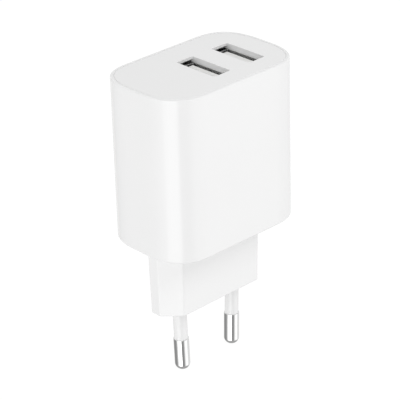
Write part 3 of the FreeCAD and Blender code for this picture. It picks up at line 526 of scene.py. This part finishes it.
def body_reach(angle, inset):
    """How far the body's outline, moved in by inset, is from the middle at this angle."""
    c, s = abs(math.cos(angle)), abs(math.sin(angle))
    half_w, half_d = HALF_WIDE - inset, HALF_DEEP - inset
    wide, deep = CORNER_WIDE - inset, CORNER_DEEP - inset
    mid_x, mid_y = half_w - wide, half_d - deep
    if s > 1e-9 and half_d * c / s <= mid_x:
        return half_d / s
    if c > 1e-9 and half_w * s / c <= mid_y:
        return half_w / c
    low, high = 0.0, HALF_WIDE + HALF_DEEP
    for _ in range(50):
        t = (low + high) / 2
        x = max(0.0, t * c - mid_x) / wide
        y = max(0.0, t * s - mid_y) / deep
        if x ** CORNER_POWER + y ** CORNER_POWER < 1:
            low = t
        else:
            high = t
    return (low + high) / 2


def nose_half_planes(grow):
    """The eight sides of the nose outline, as (direction angle, distance)."""
    diagonal = (NOSE_FLAT / 2 + NOSE_DEEP / 2) / math.sqrt(2)
    sides = []
    for quarter in range(2):
        turn = math.pi * quarter
        sides.append((turn, NOSE_LONG / 2 + grow))
        sides.append((turn + math.pi / 4, diagonal + grow))
        sides.append((turn + math.pi / 2, NOSE_DEEP / 2 + grow))
        sides.append((turn + 3 * math.pi / 4, diagonal + grow))
    return sides


def nose_reach(angle, grow):
    reach = 1e9
    for turn, distance in nose_half_planes(grow):
        facing = math.cos(angle - turn)
        if facing > 1e-6:
            reach = min(reach, distance / facing)
    return reach


def nose_corner_angles(grow=0.0):
    flat = NOSE_FLAT / 2 + grow * math.tan(math.pi / 8)
    end = NOSE_DEEP / 2 - NOSE_CHAMFER + grow * math.tan(math.pi / 8)
    quarter = [
        math.atan2(end, NOSE_LONG / 2 + grow),
        math.atan2(NOSE_DEEP / 2 + grow, flat),
    ]
    found = []
    for angle in quarter:
        found += [angle, math.pi - angle, math.pi + angle, 2 * math.pi - angle]
    return found


def body_angles():
    """Angles that follow the outline closely round its corners, and the nose's own corners."""
    found = set()
    mid_x, mid_y = HALF_WIDE - CORNER_WIDE, HALF_DEEP - CORNER_DEEP
    quarter = [math.atan2(mid_y * k / 2, HALF_WIDE) for k in range(1, 3)]
    for k in range(1, 40):
        turn = math.pi / 2 * k / 40
        x = mid_x + CORNER_WIDE * math.cos(turn) ** (2 / CORNER_POWER)
        y = mid_y + CORNER_DEEP * math.sin(turn) ** (2 / CORNER_POWER)
        quarter.append(math.atan2(y, x))
    quarter += [math.atan2(HALF_DEEP, mid_x * k / 6) for k in range(1, 7)]
    for angle in quarter:
        found.update((angle, math.pi - angle, math.pi + angle, 2 * math.pi - angle))
    found.update((0.0, math.pi / 2, math.pi, 3 * math.pi / 2))
    found.update(nose_corner_angles())
    kept = []
    for angle in sorted(found):
        if not kept or angle - kept[-1] > 1e-4:
            kept.append(angle)
    return kept


BODY_ANGLES = body_angles()


def ring_of(reach, z, angles=BODY_ANGLES):
    return [(reach(a) * math.cos(a), reach(a) * math.sin(a), z) for a in angles]


def body_ring(inset, z):
    return [(x, BODY_Y + y, z) for x, y, z in ring_of(lambda a: body_reach(a, inset), z)]


def nose_ring(grow, z):
    return ring_of(lambda a: nose_reach(a, grow), z)


def soft_nose_outline(grow, corner, z, steps=5):
    """The nose outline with every corner rounded by an arc."""
    sides = sorted((turn % (2 * math.pi), distance) for turn, distance in nose_half_planes(grow))
    ring = []
    for index, (turn, distance) in enumerate(sides):
        other, beyond = sides[(index + 1) % len(sides)]
        # the arc's middle is where the two sides, moved in by the radius, cross
        a1, a2 = turn, other
        d1, d2 = distance - corner, beyond - corner
        det = math.cos(a1) * math.sin(a2) - math.sin(a1) * math.cos(a2)
        x = (d1 * math.sin(a2) - d2 * math.sin(a1)) / det
        y = (d2 * math.cos(a1) - d1 * math.cos(a2)) / det
        sweep = (a2 - a1) % (2 * math.pi)
        for k in range(steps + 1):
            a = a1 + sweep * k / steps
            ring.append((x + corner * math.cos(a), y + corner * math.sin(a), z))
    return ring


def box_outline(x, y, wide, deep, corner, z, steps=6):
    """A rounded rectangle."""
    ring = []
    for quarter in range(4):
        start = math.pi / 2 * quarter
        sx = 1 if quarter in (0, 3) else -1
        sy = 1 if quarter in (0, 1) else -1
        cx = x + sx * (wide / 2 - corner)
        cy = y + sy * (deep / 2 - corner)
        for k in range(steps + 1):
            a = start + math.pi / 2 * k / steps
            ring.append((cx + corner * math.cos(a), cy + corner * math.sin(a), z))
    return ring


def block_tool(x0, x1, y0, y1, z0, z1):
    rings = [[(x0, y0, z), (x1, y0, z), (x1, y1, z), (x0, y1, z)] for z in (z0, z1)]
    return loft("tool", rings, capped=True)


def turned(name, profile, count=48, capped=True):
    """A body turned round the Z axis from (radius, height) points."""
    rings = []
    for radius, z in profile:
        rings.append([
            (radius * math.cos(2 * math.pi * k / count), radius * math.sin(2 * math.pi * k / count), z)
            for k in range(count)
        ])
    return loft(name, rings, closed_profile=not capped, capped=capped)


def lean(obj, side):
    """Turn a piece made on the Z axis onto the leaning axis of the left (-1) or right (1) pin."""
    turn = Matrix.Rotation(side * PIN_TILT, 4, "Y")
    shift = Matrix.Translation((side * PIN_ROOT_HALF * MM, 0, 0))
    obj.data.transform(shift @ turn)
    return obj


# ---------------------------------------------------------------- main housing

POST_RADIUS = 1.4
POST_X = 15.5
POST_Y = 8.7
RIB_X = (-3.0, 13.0)
RIB_WIDE = 1.4
RIB_OUT = 1.5
SNAP_X = 9.0
SNAP_WIDE = 4.4
SNAP_THICK = 1.0
SNAP_LONG = 5.5
SNAP_HOOK = 0.5
SNAP_HOOK_HIGH = 1.2
SNAP_HOOK_LIP = 0.2
SNAP_GAP = 0.1
RIM_SOFT = 0.06
INNER_DEEP = HALF_DEEP - WALL


def main_housing():
    rings = [nose_ring(NOSE_GAP, BODY_LOW)]
    rings += [body_ring(BOTTOM_ROUND - i, BODY_LOW + u) for i, u in rising_round(BOTTOM_ROUND, 4)]
    rings += [body_ring(TOP_ROUND - i, BODY_TOP - u) for i, u in reversed(rising_round(TOP_ROUND, 5))]
    rings += [
        body_ring(RIM - RIM_SOFT, BODY_TOP),
        body_ring(RIM, BODY_TOP - RIM_SOFT),
        body_ring(RIM, LEDGE),
        body_ring(WALL, LEDGE),
        body_ring(WALL, FLOOR),
        nose_ring(NOSE_GAP, FLOOR),
    ]
    shell = loft("housing_shell", rings, closed_profile=True)
    sunk = 0.5
    for x in (-POST_X, POST_X):
        for y in (-POST_Y, POST_Y):
            post = turned("tool", [(POST_RADIUS, FLOOR - sunk), (POST_RADIUS, BOARD_LOW.z)])
            post.data.transform(Matrix.Translation((x * MM, y * MM, 0)))
            combine(shell, post, "UNION")
    for side in (-1, 1):
        near, far = sorted(
            BODY_Y + side * reach for reach in (INNER_DEEP - RIB_OUT, INNER_DEEP + sunk)
        )
        for x in RIB_X:
            rib = block_tool(x - RIB_WIDE / 2, x + RIB_WIDE / 2, near, far, FLOOR - sunk, USB_LOW.z)
            combine(shell, rib, "UNION")
    hook_low = LEDGE - SNAP_LONG
    for side in (-1, 1):
        near, far = sorted(
            BODY_Y + side * reach
            for reach in (INNER_DEEP - sunk, INNER_DEEP + SNAP_HOOK + SNAP_GAP)
        )
        for x in (-SNAP_X, SNAP_X):
            pocket = block_tool(
                x - SNAP_WIDE / 2 - SNAP_GAP, x + SNAP_WIDE / 2 + SNAP_GAP, near, far,
                hook_low - SNAP_GAP, hook_low + SNAP_HOOK_HIGH + 2 * SNAP_GAP,
            )
            combine(shell, pocket, "DIFFERENCE")
    smooth(shell)
    finish_piece(shell, "charger", "housing_white", "main_housing")


main_housing()


# ---------------------------------------------------------------- top cover

COVER_ROUND = 0.1
SEAM = 0.02
SEAM_DEEP = 0.06


def snap_leg(x, side):
    """A leg with a wedge hook at its foot, rooted a little way into the cover."""
    outer = INNER_DEEP - SNAP_GAP
    inner = outer - SNAP_THICK
    low = LEDGE - SNAP_LONG
    rooted = LEDGE + 0.5
    corners = [
        (inner, rooted), (inner, low), (outer, low),
        (outer + SNAP_HOOK, low + SNAP_HOOK_HIGH - SNAP_HOOK_LIP),
        (outer + SNAP_HOOK, low + SNAP_HOOK_HIGH),
        (outer, low + SNAP_HOOK_HIGH), (outer, rooted),
    ]
    rings = [
        [(x + edge * SNAP_WIDE / 2, BODY_Y + side * y, z) for y, z in corners]
        for edge in (-1, 1)
    ]
    return loft("tool", rings, capped=True)


def mouth_tool(port):
    """The opening over a port, widening in a small bevel at the top."""
    x, y = port_middle(port)
    clear = 1.0

    def opening(grow, z):
        return box_outline(
            x, y, MOUTH_THIN + 2 * grow, MOUTH_LONG + 2 * grow, MOUTH_CORNER + grow, z
        )

    rings = [opening(0, LEDGE - clear)]
    rings += [
        opening(MOUTH_CHAMFER - out, COVER_TOP - MOUTH_CHAMFER + up)
        for up, out in mouth_round()
    ]
    rings.append(opening(MOUTH_CHAMFER, COVER_TOP + clear))
    return loft("tool", rings, capped=True)


def end_relief(port, end):
    """The hollow under the cover that leaves a thin lip at each end of an opening."""
    x, y = port_middle(port)
    near, far = sorted(
        y + end * (MOUTH_LONG / 2 + reach) for reach in (-MOUTH_CORNER, MOUTH_RELIEF)
    )
    half = MOUTH_THIN / 2
    return block_tool(
        x - half, x + half, near, far, LEDGE - MOUTH_LIP, COVER_TOP - MOUTH_LIP
    )


def mouth_round(steps=6):
    """(up, out) places of the opening's rounded lip, from the upright wall to the top face."""
    places = []
    for k in range(steps + 1):
        turn = math.pi / 2 * k / steps
        places.append((MOUTH_CHAMFER * math.sin(turn), MOUTH_CHAMFER * math.cos(turn)))
    return places


def top_cover():
    rings = [body_ring(RIM + SEAM, LEDGE), body_ring(RIM + SEAM, COVER_TOP - SEAM_DEEP)]
    rings += [
        body_ring(COVER_INSET + COVER_ROUND - i, COVER_TOP - u)
        for i, u in reversed(rising_round(COVER_ROUND, 3))
    ]
    plate = loft("cover_plate", rings, capped=True)
    for port in PORT_NAMES:
        combine(plate, mouth_tool(port), "DIFFERENCE")
        for end in (-1, 1):
            combine(plate, end_relief(port, end), "DIFFERENCE")
    for x in (-SNAP_X, SNAP_X):
        for side in (-1, 1):
            combine(plate, snap_leg(x, side), "UNION")
    smooth(plate)
    finish_piece(plate, "charger", "housing_white", "top_cover")


top_cover()


# ---------------------------------------------------------------- plug base

def pin_socket_tool(side):
    profile = [
        (SLEEVE_RADIUS, -2.0),
        (SLEEVE_RADIUS, SLEEVE_SUNK),
        (SHANK_RADIUS, SLEEVE_SUNK),
    ] + shank_grooves() + [(SHANK_RADIUS, SHANK_TOP + 2.0)]
    return lean(turned("tool", profile), side)


def shank_grooves():
    points = []
    for height in SHANK_GROOVES:
        low, high = height - SHANK_GROOVE_HALF, height + SHANK_GROOVE_HALF
        points += [
            (SHANK_RADIUS, low), (SHANK_GROOVE_RADIUS, low),
            (SHANK_GROOVE_RADIUS, high), (SHANK_RADIUS, high),
        ]
    return points


def plug_base():
    foot_round = NOSE_ROUND / 2
    flange_corner = 0.3
    rings = []
    for i, u in rising_round(foot_round, 4):
        inset = foot_round - i
        grow = -NOSE_DRAFT - inset
        rings.append(soft_nose_outline(grow, NOSE_ROUND - inset, u))
    rings += [
        soft_nose_outline(0, NOSE_ROUND, FLOOR),
        soft_nose_outline(FLANGE_WIDER, flange_corner, FLOOR),
        soft_nose_outline(FLANGE_WIDER, flange_corner, FLANGE_TOP),
        soft_nose_outline(-NOSE_WALL - NOSE_DRAFT, flange_corner, FLANGE_TOP),
        soft_nose_outline(-NOSE_WALL - NOSE_DRAFT, flange_corner, NOSE_FLOOR),
    ]
    base = loft("plug_base_shell", rings, capped=True)
    for side in (-1, 1):
        boss = lean(turned("tool", [(BOSS_RADIUS, NOSE_FLOOR / 2), (BOSS_RADIUS, SHANK_TOP)]), side)
        combine(base, boss, "UNION")
    for side in (-1, 1):
        combine(base, pin_socket_tool(side), "DIFFERENCE")
        recess = turned("tool", [(RECESS_RADIUS, -1.0), (RECESS_RADIUS, RECESS_DEEP)], 64)
        recess.data.transform(Matrix.Translation((side * PIN_ROOT_HALF * MM, 0, 0)))
        combine(base, recess, "DIFFERENCE")
    smooth(base)
    finish_piece(base, "charger", "housing_white", "plug_base")


plug_base()


# ---------------------------------------------------------------- mains pins

PIN_TIP_ROUND = 1.7
SHOULDER_SOFT = 0.12
# how far in the middle of the shoulder's round is, as a share of its radius
SHOULDER_MIDDLE = 0.3


def mains_pin(side, name):
    flat = PIN_RADIUS - PIN_TIP_ROUND
    profile = []
    for k in range(9):
        turn = math.pi / 2 * k / 8
        profile.append((
            flat + PIN_TIP_ROUND * math.sin(turn),
            -PIN_LONG + PIN_TIP_ROUND * (1 - math.cos(turn)),
        ))
    eased = SHOULDER_SOFT * SHOULDER_MIDDLE
    profile += [
        (PIN_RADIUS, -SLEEVE_LONG - SHOULDER_SOFT),
        (PIN_RADIUS - eased, -SLEEVE_LONG - eased),
        (PIN_RADIUS - SHOULDER_SOFT, -SLEEVE_LONG),
        (NECK_RADIUS, -SLEEVE_LONG),
        (NECK_RADIUS, SLEEVE_SUNK),
        (SHANK_RADIUS, SLEEVE_SUNK),
    ]
    profile += shank_grooves()
    profile += [
        (SHANK_RADIUS, SHANK_TOP), (TAIL_RADIUS, SHANK_TOP),
        (TAIL_RADIUS, TAIL_TOP - SHOULDER_SOFT), (TAIL_RADIUS - SHOULDER_SOFT, TAIL_TOP),
    ]
    pin = lean(turned(name + "_metal", profile, 64), side)
    smooth(pin)
    finish_piece(pin, "charger", "nickel_plate", name)


def pin_sleeve(side, name):
    soft = 0.06
    profile = [
        (NECK_RADIUS, -SLEEVE_LONG), (SLEEVE_RADIUS - soft, -SLEEVE_LONG),
        (SLEEVE_RADIUS, -SLEEVE_LONG + soft), (SLEEVE_RADIUS, SLEEVE_SUNK),
        (NECK_RADIUS, SLEEVE_SUNK),
    ]
    sleeve = lean(turned(name + "_plastic", profile, 64, capped=False), side)
    smooth(sleeve)
    finish_piece(sleeve, "charger", "sleeve_white", name)


for pin_side, pin_word in ((-1, "left"), (1, "right")):
    mains_pin(pin_side, "pin_" + pin_word)
    pin_sleeve(pin_side, "pin_sleeve_" + pin_word)


# ---------------------------------------------------------------- USB ports

SHELL_METAL = 0.3
SHELL_CORNER = 0.6
SHELL_SOFT = 0.08
FINGER_Y = 3.0
FINGER_WIDE = 2.2
FINGER_SLIT = 0.4
FINGER_FOOT = 58.15
FINGER_TIP = 52.95
SHELL_LEG_WIDE = 1.8
TONGUE_LOW = 0.05
TONGUE_HIGH = 1.89
TONGUE_LONG = 11.3
TONGUE_FOOT = 51.65
TONGUE_CHAMFER = 0.25
TONGUE_SOFT = 0.08
CONTACT_Y = (-3.5, -1.0, 1.0, 3.5)
CONTACT_WIDE = 1.0
CONTACT_METAL = 0.2
CONTACT_X = 0.45
CONTACT_PROUD = -0.3
CONTACT_FOOT = 52.3
CONTACT_TIP = 59.25
# shares of a leaf's length at which it starts to rise and is fully out
CONTACT_RISE = 0.14
CONTACT_CREST = 0.74
GROOVE_WIDE = 1.2
GROOVE_FLOOR = 1.05
GROOVE_TOP = 59.65


def port_shell(port):
    low, high = node_box(port + "_shell")
    x, y = port_middle(port)
    thin, long = high.x - low.x, high.y - low.y
    foot, top = USB_HIGH.z, high.z

    def outside(inset, z):
        return box_outline(x, y, thin - 2 * inset, long - 2 * inset, SHELL_CORNER - inset, z)

    rings = [
        outside(0, foot),
        outside(0, top - SHELL_SOFT),
        outside(SHELL_SOFT, top),
        outside(SHELL_METAL - SHELL_SOFT, top),
        outside(SHELL_METAL, top - SHELL_SOFT),
        outside(SHELL_METAL, foot),
    ]
    shell = loft(port + "_steel", rings, closed_profile=True)
    reach = thin
    for finger in (-FINGER_Y, FINGER_Y):
        for edge in (-1, 1):
            middle = y + finger + edge * (FINGER_WIDE + FINGER_SLIT) / 2
            slit = block_tool(
                x - reach, x + reach, middle - FINGER_SLIT / 2, middle + FINGER_SLIT / 2,
                FINGER_TIP, FINGER_FOOT,
            )
            combine(shell, slit, "DIFFERENCE")
        half = FINGER_WIDE / 2 + FINGER_SLIT
        end = block_tool(
            x - reach, x + reach, y + finger - half, y + finger + half,
            FINGER_TIP - FINGER_SLIT, FINGER_TIP + FINGER_SLIT / 4,
        )
        combine(shell, end, "DIFFERENCE")
    for side in (-1, 1):
        near, far = sorted((y + side * (long / 2 - SHELL_METAL), y + side * long / 2))
        leg = block_tool(
            x - SHELL_LEG_WIDE / 2, x + SHELL_LEG_WIDE / 2, near, far, low.z, foot + FINGER_SLIT,
        )
        combine(shell, leg, "UNION")
    smooth(shell)
    finish_piece(shell, "charger", "port_steel", port + "_shell")


def port_insulator(port):
    """The foot block, and the tongue with a groove for each contact."""
    low, high = node_box(port + "_insulator")
    x, y = port_middle(port)
    thin, long = high.x - low.x, high.y - low.y
    corner = SHELL_CORNER - SHELL_METAL
    block = loft(port + "_plastic", [
        box_outline(x, y, thin, long, corner, low.z),
        box_outline(x, y, thin, long, corner, TONGUE_FOOT - TONGUE_SOFT),
        box_outline(x, y, thin - 2 * TONGUE_SOFT, long - 2 * TONGUE_SOFT, corner, TONGUE_FOOT),
    ], capped=True)
    middle = x + (TONGUE_LOW + TONGUE_HIGH) / 2
    thick = TONGUE_HIGH - TONGUE_LOW
    tongue = loft("tool", [
        box_outline(middle, y, thick, TONGUE_LONG, TONGUE_SOFT, TONGUE_FOOT - 1.0),
        box_outline(middle, y, thick, TONGUE_LONG, TONGUE_SOFT, high.z - TONGUE_CHAMFER),
        box_outline(
            middle, y, thick - 2 * TONGUE_CHAMFER, TONGUE_LONG - 2 * TONGUE_CHAMFER,
            TONGUE_SOFT, high.z,
        ),
    ], capped=True)
    combine(block, tongue, "UNION")
    for contact in CONTACT_Y:
        groove = block_tool(
            x + TONGUE_LOW - 1.0, x + GROOVE_FLOOR,
            y + contact - GROOVE_WIDE / 2, y + contact + GROOVE_WIDE / 2, TONGUE_FOOT, GROOVE_TOP,
        )
        combine(block, groove, "DIFFERENCE")
    smooth(block)
    finish_piece(block, "charger", "tongue_white", port + "_insulator")


def contact_blades(port):
    """Four spring leaves, each bowed out of its groove and tucked back in at the tip."""
    x, y = port_middle(port)
    verts, faces = [], []
    rise = CONTACT_PROUD - CONTACT_X
    steps = 28
    path = []
    for k in range(steps + 1):
        t = k / steps
        z = CONTACT_FOOT + (CONTACT_TIP - CONTACT_FOOT) * t
        # a slow rise to a crest near the tip, then a quick tuck
        if t < CONTACT_CREST:
            part = max(0.0, (t - CONTACT_RISE) / (CONTACT_CREST - CONTACT_RISE))
            out = part * part * (3 - 2 * part)
        else:
            part = (t - CONTACT_CREST) / (1 - CONTACT_CREST)
            out = 1 - part * part * (3 - 2 * part)
        path.append((CONTACT_X + rise * out, z))
    for contact in CONTACT_Y:
        start = len(verts)
        for k, (px, pz) in enumerate(path):
            before = path[max(0, k - 1)]
            after = path[min(steps, k + 1)]
            dx, dz = after[0] - before[0], after[1] - before[1]
            length = math.hypot(dx, dz)
            nx, nz = dz / length, -dx / length
            for off, edge in ((-1, -1), (1, -1), (1, 1), (-1, 1)):
                verts.append((
                    x + px + off * nx * CONTACT_METAL / 2,
                    y + contact + edge * CONTACT_WIDE / 2,
                    pz + off * nz * CONTACT_METAL / 2,
                ))
        for k in range(steps):
            a, b = start + 4 * k, start + 4 * (k + 1)
            for m in range(4):
                n = (m + 1) % 4
                faces.append((a + m, a + n, b + n, b + m))
        faces.append((start + 3, start + 2, start + 1, start))
        last = start + 4 * steps
        faces.append((last, last + 1, last + 2, last + 3))
    blades = new_object(port + "_springs", verts, faces)
    face_outwards(blades)
    smooth(blades)
    finish_piece(blades, port + "_contacts", "contact_gold", port + "_contact_blades")


for port_name in PORT_NAMES:
    port_shell(port_name)
    port_insulator(port_name)
    contact_blades(port_name)


# ---------------------------------------------------------------- cans and choke inside

INPUT_BUNG_HIGH = 2.6
OUTPUT_BUNG_HIGH = 1.6
CAN_METAL = 0.3
CAN_ROLL = 0.1
CAN_ROLL_AT = 0.6
CAN_SHOULDER = 0.4
VENT_WIDE = 0.2
VENT_DEEP = 0.12
VENT_SHARE = 0.62
CHOKE_FLANGE = 1.2
CHOKE_WAIST = 1.6
CHOKE_COIL = 2.7
CHOKE_WIRE = 0.4
CHOKE_LEAD_HALF = 2.2
LEAD_RADIUS = 0.3


def vented_can(name, bung_high):
    """An open-footed drawn can: a groove rolled in near its foot, a cross scored in its top."""
    low, high = node_box(name)
    x, y = (low.x + high.x) / 2, (low.y + high.y) / 2
    radius = (high.x - low.x) / 2
    groove = low.z + bung_high * CAN_ROLL_AT
    can = turned(name + "_metal", [
        (radius - CAN_METAL, low.z + bung_high),
        (radius - CAN_METAL, low.z),
        (radius, low.z),
        (radius, groove - 2 * CAN_ROLL),
        (radius - CAN_ROLL, groove - CAN_ROLL),
        (radius - CAN_ROLL, groove + CAN_ROLL),
        (radius, groove + 2 * CAN_ROLL),
        (radius, high.z - CAN_SHOULDER),
        (radius - CAN_SHOULDER, high.z),
    ], 64)
    can.data.transform(Matrix.Translation((x * MM, y * MM, 0)))
    reach = radius * VENT_SHARE
    half = VENT_WIDE / 2
    for wide, deep in ((reach, half), (half, reach)):
        score = block_tool(
            x - wide, x + wide, y - deep, y + deep, high.z - VENT_DEEP, high.z + VENT_DEEP
        )
        combine(can, score, "DIFFERENCE")
    smooth(can)
    finish_piece(can, "charger", SLOT_OF[name], name)


def choke_turns():
    """Wire wound in even turns round the core's waist, its two ends led down through the board."""
    low, high = node_box("filter_choke_core")
    x, y = (low.x + high.x) / 2, (low.y + high.y) / 2
    foot, top = low.z + CHOKE_FLANGE, high.z - CHOKE_FLANGE
    turns = round((top - foot) / CHOKE_WIRE)
    pitch = (top - foot) / turns
    valley = CHOKE_COIL - pitch / 2
    steps = 6
    profile = [(CHOKE_WAIST, foot)]
    for turn in range(turns):
        for step in range(steps):
            angle = math.pi * step / steps
            profile.append((
                valley + pitch / 2 * math.sin(angle),
                foot + pitch * (turn + (1 - math.cos(angle)) / 2),
            ))
    profile += [(valley, top), (CHOKE_WAIST, top)]
    coil = turned("filter_choke_turns", profile, capped=False)
    coil.data.transform(Matrix.Translation((x * MM, y * MM, 0)))
    lead_end = node_box("filter_choke_winding")[0].z
    for side in (-1, 1):
        wire = turned("tool", [(LEAD_RADIUS, lead_end), (LEAD_RADIUS, foot + pitch)])
        wire.data.transform(Matrix.Translation(((x + side * CHOKE_LEAD_HALF) * MM, y * MM, 0)))
        combine(coil, wire, "UNION")
    smooth(coil)
    finish_piece(coil, "charger", SLOT_OF["filter_choke_winding"], "filter_choke_winding")


for can_number in (1, 2):
    vented_can("input_capacitor_%d_can" % can_number, INPUT_BUNG_HIGH)
    vented_can("output_capacitor_%d_can" % can_number, OUTPUT_BUNG_HIGH)
choke_turns()


# ---------------------------------------------------------------- stage, light and camera

STAGE_Z = -PIN_LONG
# where the camera stands: round from the front, raised and rolled, then its shift sideways and up
# and its distance from the frame's origin
VIEW_TURN = math.radians(-43.18)
VIEW_RISE = math.radians(26.56)
VIEW_ROLL = math.radians(-1.7)
VIEW_SIDE = -1.43
VIEW_UP = 22.95
VIEW_FAR = 495.56
SENSOR = 36.0
LENS = 175.4
# the sky's brightness: as light on the charger, and as seen behind it
SKY = 0.742
SKY_SEEN = 1.0
FLOOR_GLOW = 0.9
KEY_PLACE = (60, -400, 480)
KEY_SIZE = 240
KEY_WATTS = 0.82
SIDE_PLACE = (-480, 180, 100)
SIDE_SIZE = 400
SIDE_WATTS = 0.62
CARD_FULL = 3.0
# brightness of the cards round the table, by angle from the camera's side in degrees
CARDS = (
    (-180, 0.8), (-150, 0.8), (-138, 0.3), (-84, 0.3), (-72, 0.55), (-60, 1.0), (-50, 1.1),
    (-46, 2.35), (-3, 2.35), (1, 0.3), (30, 0.3), (40, 0.6), (52, 1.1), (88, 1.2), (98, 0.8),
    (122, 0.8), (180, 0.8),
)
# steeply down, reflections see the shaded table instead: its brightness, and how steeply a direction
# points down (as its z) where that begins and where it is full
TABLE_SHADE = 0.4
TABLE_BEGINS = -0.62
TABLE_FULL = -0.82


def floor():
    half = 1500.0
    corners = [(-half, -half), (half, -half), (half, half), (-half, half)]
    plane = new_object("stage_floor", [(x, y, STAGE_Z) for x, y in corners], [(0, 1, 2, 3)])
    surface = Surface("stage_floor", (0.15, 0.15, 0.15), roughness=0.9, specular=0.0)
    surface.tint(surface.noise(0.01, 2), (0.148, 0.148, 0.148))
    surface.shader.inputs["Emission Color"].default_value = (1, 1, 1, 1)
    surface.shader.inputs["Emission Strength"].default_value = FLOOR_GLOW
    plane.data.materials.append(surface.material)
    plane.visible_glossy = False


def turn_from_camera(nodes, links):
    """The compass angle of a world direction away from the camera's own side, -0.5 to 0.5 of a turn."""
    place = nodes.new("ShaderNodeTexCoord")
    mapping = nodes.new("ShaderNodeMapping")
    mapping.inputs["Rotation"].default_value = (0, 0, math.pi / 2 - VIEW_TURN)
    links.new(place.outputs["Generated"], mapping.inputs["Vector"])
    split = nodes.new("ShaderNodeSeparateXYZ")
    links.new(mapping.outputs[0], split.inputs[0])
    angle = nodes.new("ShaderNodeMath")
    angle.operation = "ARCTAN2"
    links.new(split.outputs["Y"], angle.inputs[0])
    links.new(split.outputs["X"], angle.inputs[1])
    share = nodes.new("ShaderNodeMath")
    share.operation = "DIVIDE"
    share.inputs[1].default_value = 2 * math.pi
    links.new(angle.outputs[0], share.inputs[0])
    return share.outputs[0]


def table_share(nodes, links):
    """How much of the table a world direction sees, from 0 for the cards to 1 for steeply down."""
    place = nodes.new("ShaderNodeTexCoord")
    split = nodes.new("ShaderNodeSeparateXYZ")
    links.new(place.outputs["Generated"], split.inputs[0])
    share = nodes.new("ShaderNodeMapRange")
    share.inputs["From Min"].default_value = TABLE_BEGINS
    share.inputs["From Max"].default_value = TABLE_FULL
    links.new(split.outputs["Z"], share.inputs["Value"])
    return share.outputs["Result"]


def world():
    """Even soft light; only reflections see the brighter and darker cards round the table."""
    made = bpy.data.worlds.new("studio")
    made.use_nodes = True
    nodes = made.node_tree.nodes
    links = made.node_tree.links
    shader = nodes["Background"]
    cards = nodes.new("ShaderNodeValToRGB")
    cards.color_ramp.interpolation = "LINEAR"
    shift = nodes.new("ShaderNodeMath")
    shift.operation = "ADD"
    shift.inputs[1].default_value = 0.5
    links.new(turn_from_camera(nodes, links), shift.inputs[0])
    links.new(shift.outputs[0], cards.inputs["Fac"])
    stops = cards.color_ramp.elements
    while len(stops) > 1:
        stops.remove(stops[-1])
    for index, (degrees, level) in enumerate(CARDS):
        place = 0.5 + degrees / 360
        stop = stops[0] if index == 0 else stops.new(place)
        stop.position = place
        share = level / CARD_FULL
        stop.color = (share, share, share, 1)
    bright = nodes.new("ShaderNodeVectorMath")
    bright.operation = "SCALE"
    bright.inputs["Scale"].default_value = CARD_FULL
    links.new(cards.outputs["Color"], bright.inputs[0])
    around = nodes.new("ShaderNodeMix")
    around.data_type = "RGBA"
    around.inputs["B"].default_value = (TABLE_SHADE, TABLE_SHADE, TABLE_SHADE, 1)
    links.new(bright.outputs[0], around.inputs["A"])
    links.new(table_share(nodes, links), around.inputs["Factor"])
    path = nodes.new("ShaderNodeLightPath")
    mix = nodes.new("ShaderNodeMix")
    mix.data_type = "RGBA"
    sky = nodes.new("ShaderNodeMapRange")
    sky.inputs["To Min"].default_value = SKY
    sky.inputs["To Max"].default_value = SKY_SEEN
    links.new(path.outputs["Is Camera Ray"], sky.inputs["Value"])
    links.new(sky.outputs["Result"], mix.inputs["A"])
    links.new(path.outputs["Is Glossy Ray"], mix.inputs["Factor"])
    links.new(around.outputs["Result"], mix.inputs["B"])
    links.new(mix.outputs["Result"], shader.inputs["Color"])
    bpy.context.scene.world = made


def area_light(name, place, size, watts):
    """A square soft box aimed at the middle of the charger.  Place and size are in millimetres."""
    lamp = bpy.data.lights.new(name, "AREA")
    lamp.shape = "SQUARE"
    lamp.size = size * MM
    lamp.energy = watts
    obj = bpy.data.objects.new(name, lamp)
    bpy.context.scene.collection.objects.link(obj)
    spot = Vector(place) * MM
    target = Vector((0, 0, (BODY_TOP - PIN_LONG) / 2)) * MM
    obj.location = spot
    obj.rotation_euler = (target - spot).to_track_quat("-Z", "Y").to_euler()
    obj.visible_glossy = False


def camera():
    ca, sa = math.cos(VIEW_TURN), math.sin(VIEW_TURN)
    ce, se = math.cos(VIEW_RISE), math.sin(VIEW_RISE)
    back = Vector((sa * ce, -ca * ce, se))
    level = Vector((ca, sa, 0))
    raised = back.cross(level)
    right = level * math.cos(VIEW_ROLL) + raised * math.sin(VIEW_ROLL)
    up = raised * math.cos(VIEW_ROLL) - level * math.sin(VIEW_ROLL)
    place = (right * VIEW_SIDE + up * VIEW_UP + back * VIEW_FAR) * MM
    data = bpy.data.cameras.new("camera")
    data.sensor_width = SENSOR
    data.lens = LENS
    data.clip_start = 0.01
    data.clip_end = 10.0
    obj = bpy.data.objects.new("camera", data)
    bpy.context.scene.collection.objects.link(obj)
    obj.matrix_world = Matrix.Translation(place) @ Matrix((right, up, back)).transposed().to_4x4()
    bpy.context.scene.camera = obj


floor()
world()
area_light("key", KEY_PLACE, KEY_SIZE, KEY_WATTS)
area_light("side", SIDE_PLACE, SIDE_SIZE, SIDE_WATTS)
camera()
bpy.context.scene.view_settings.view_transform = "Standard"
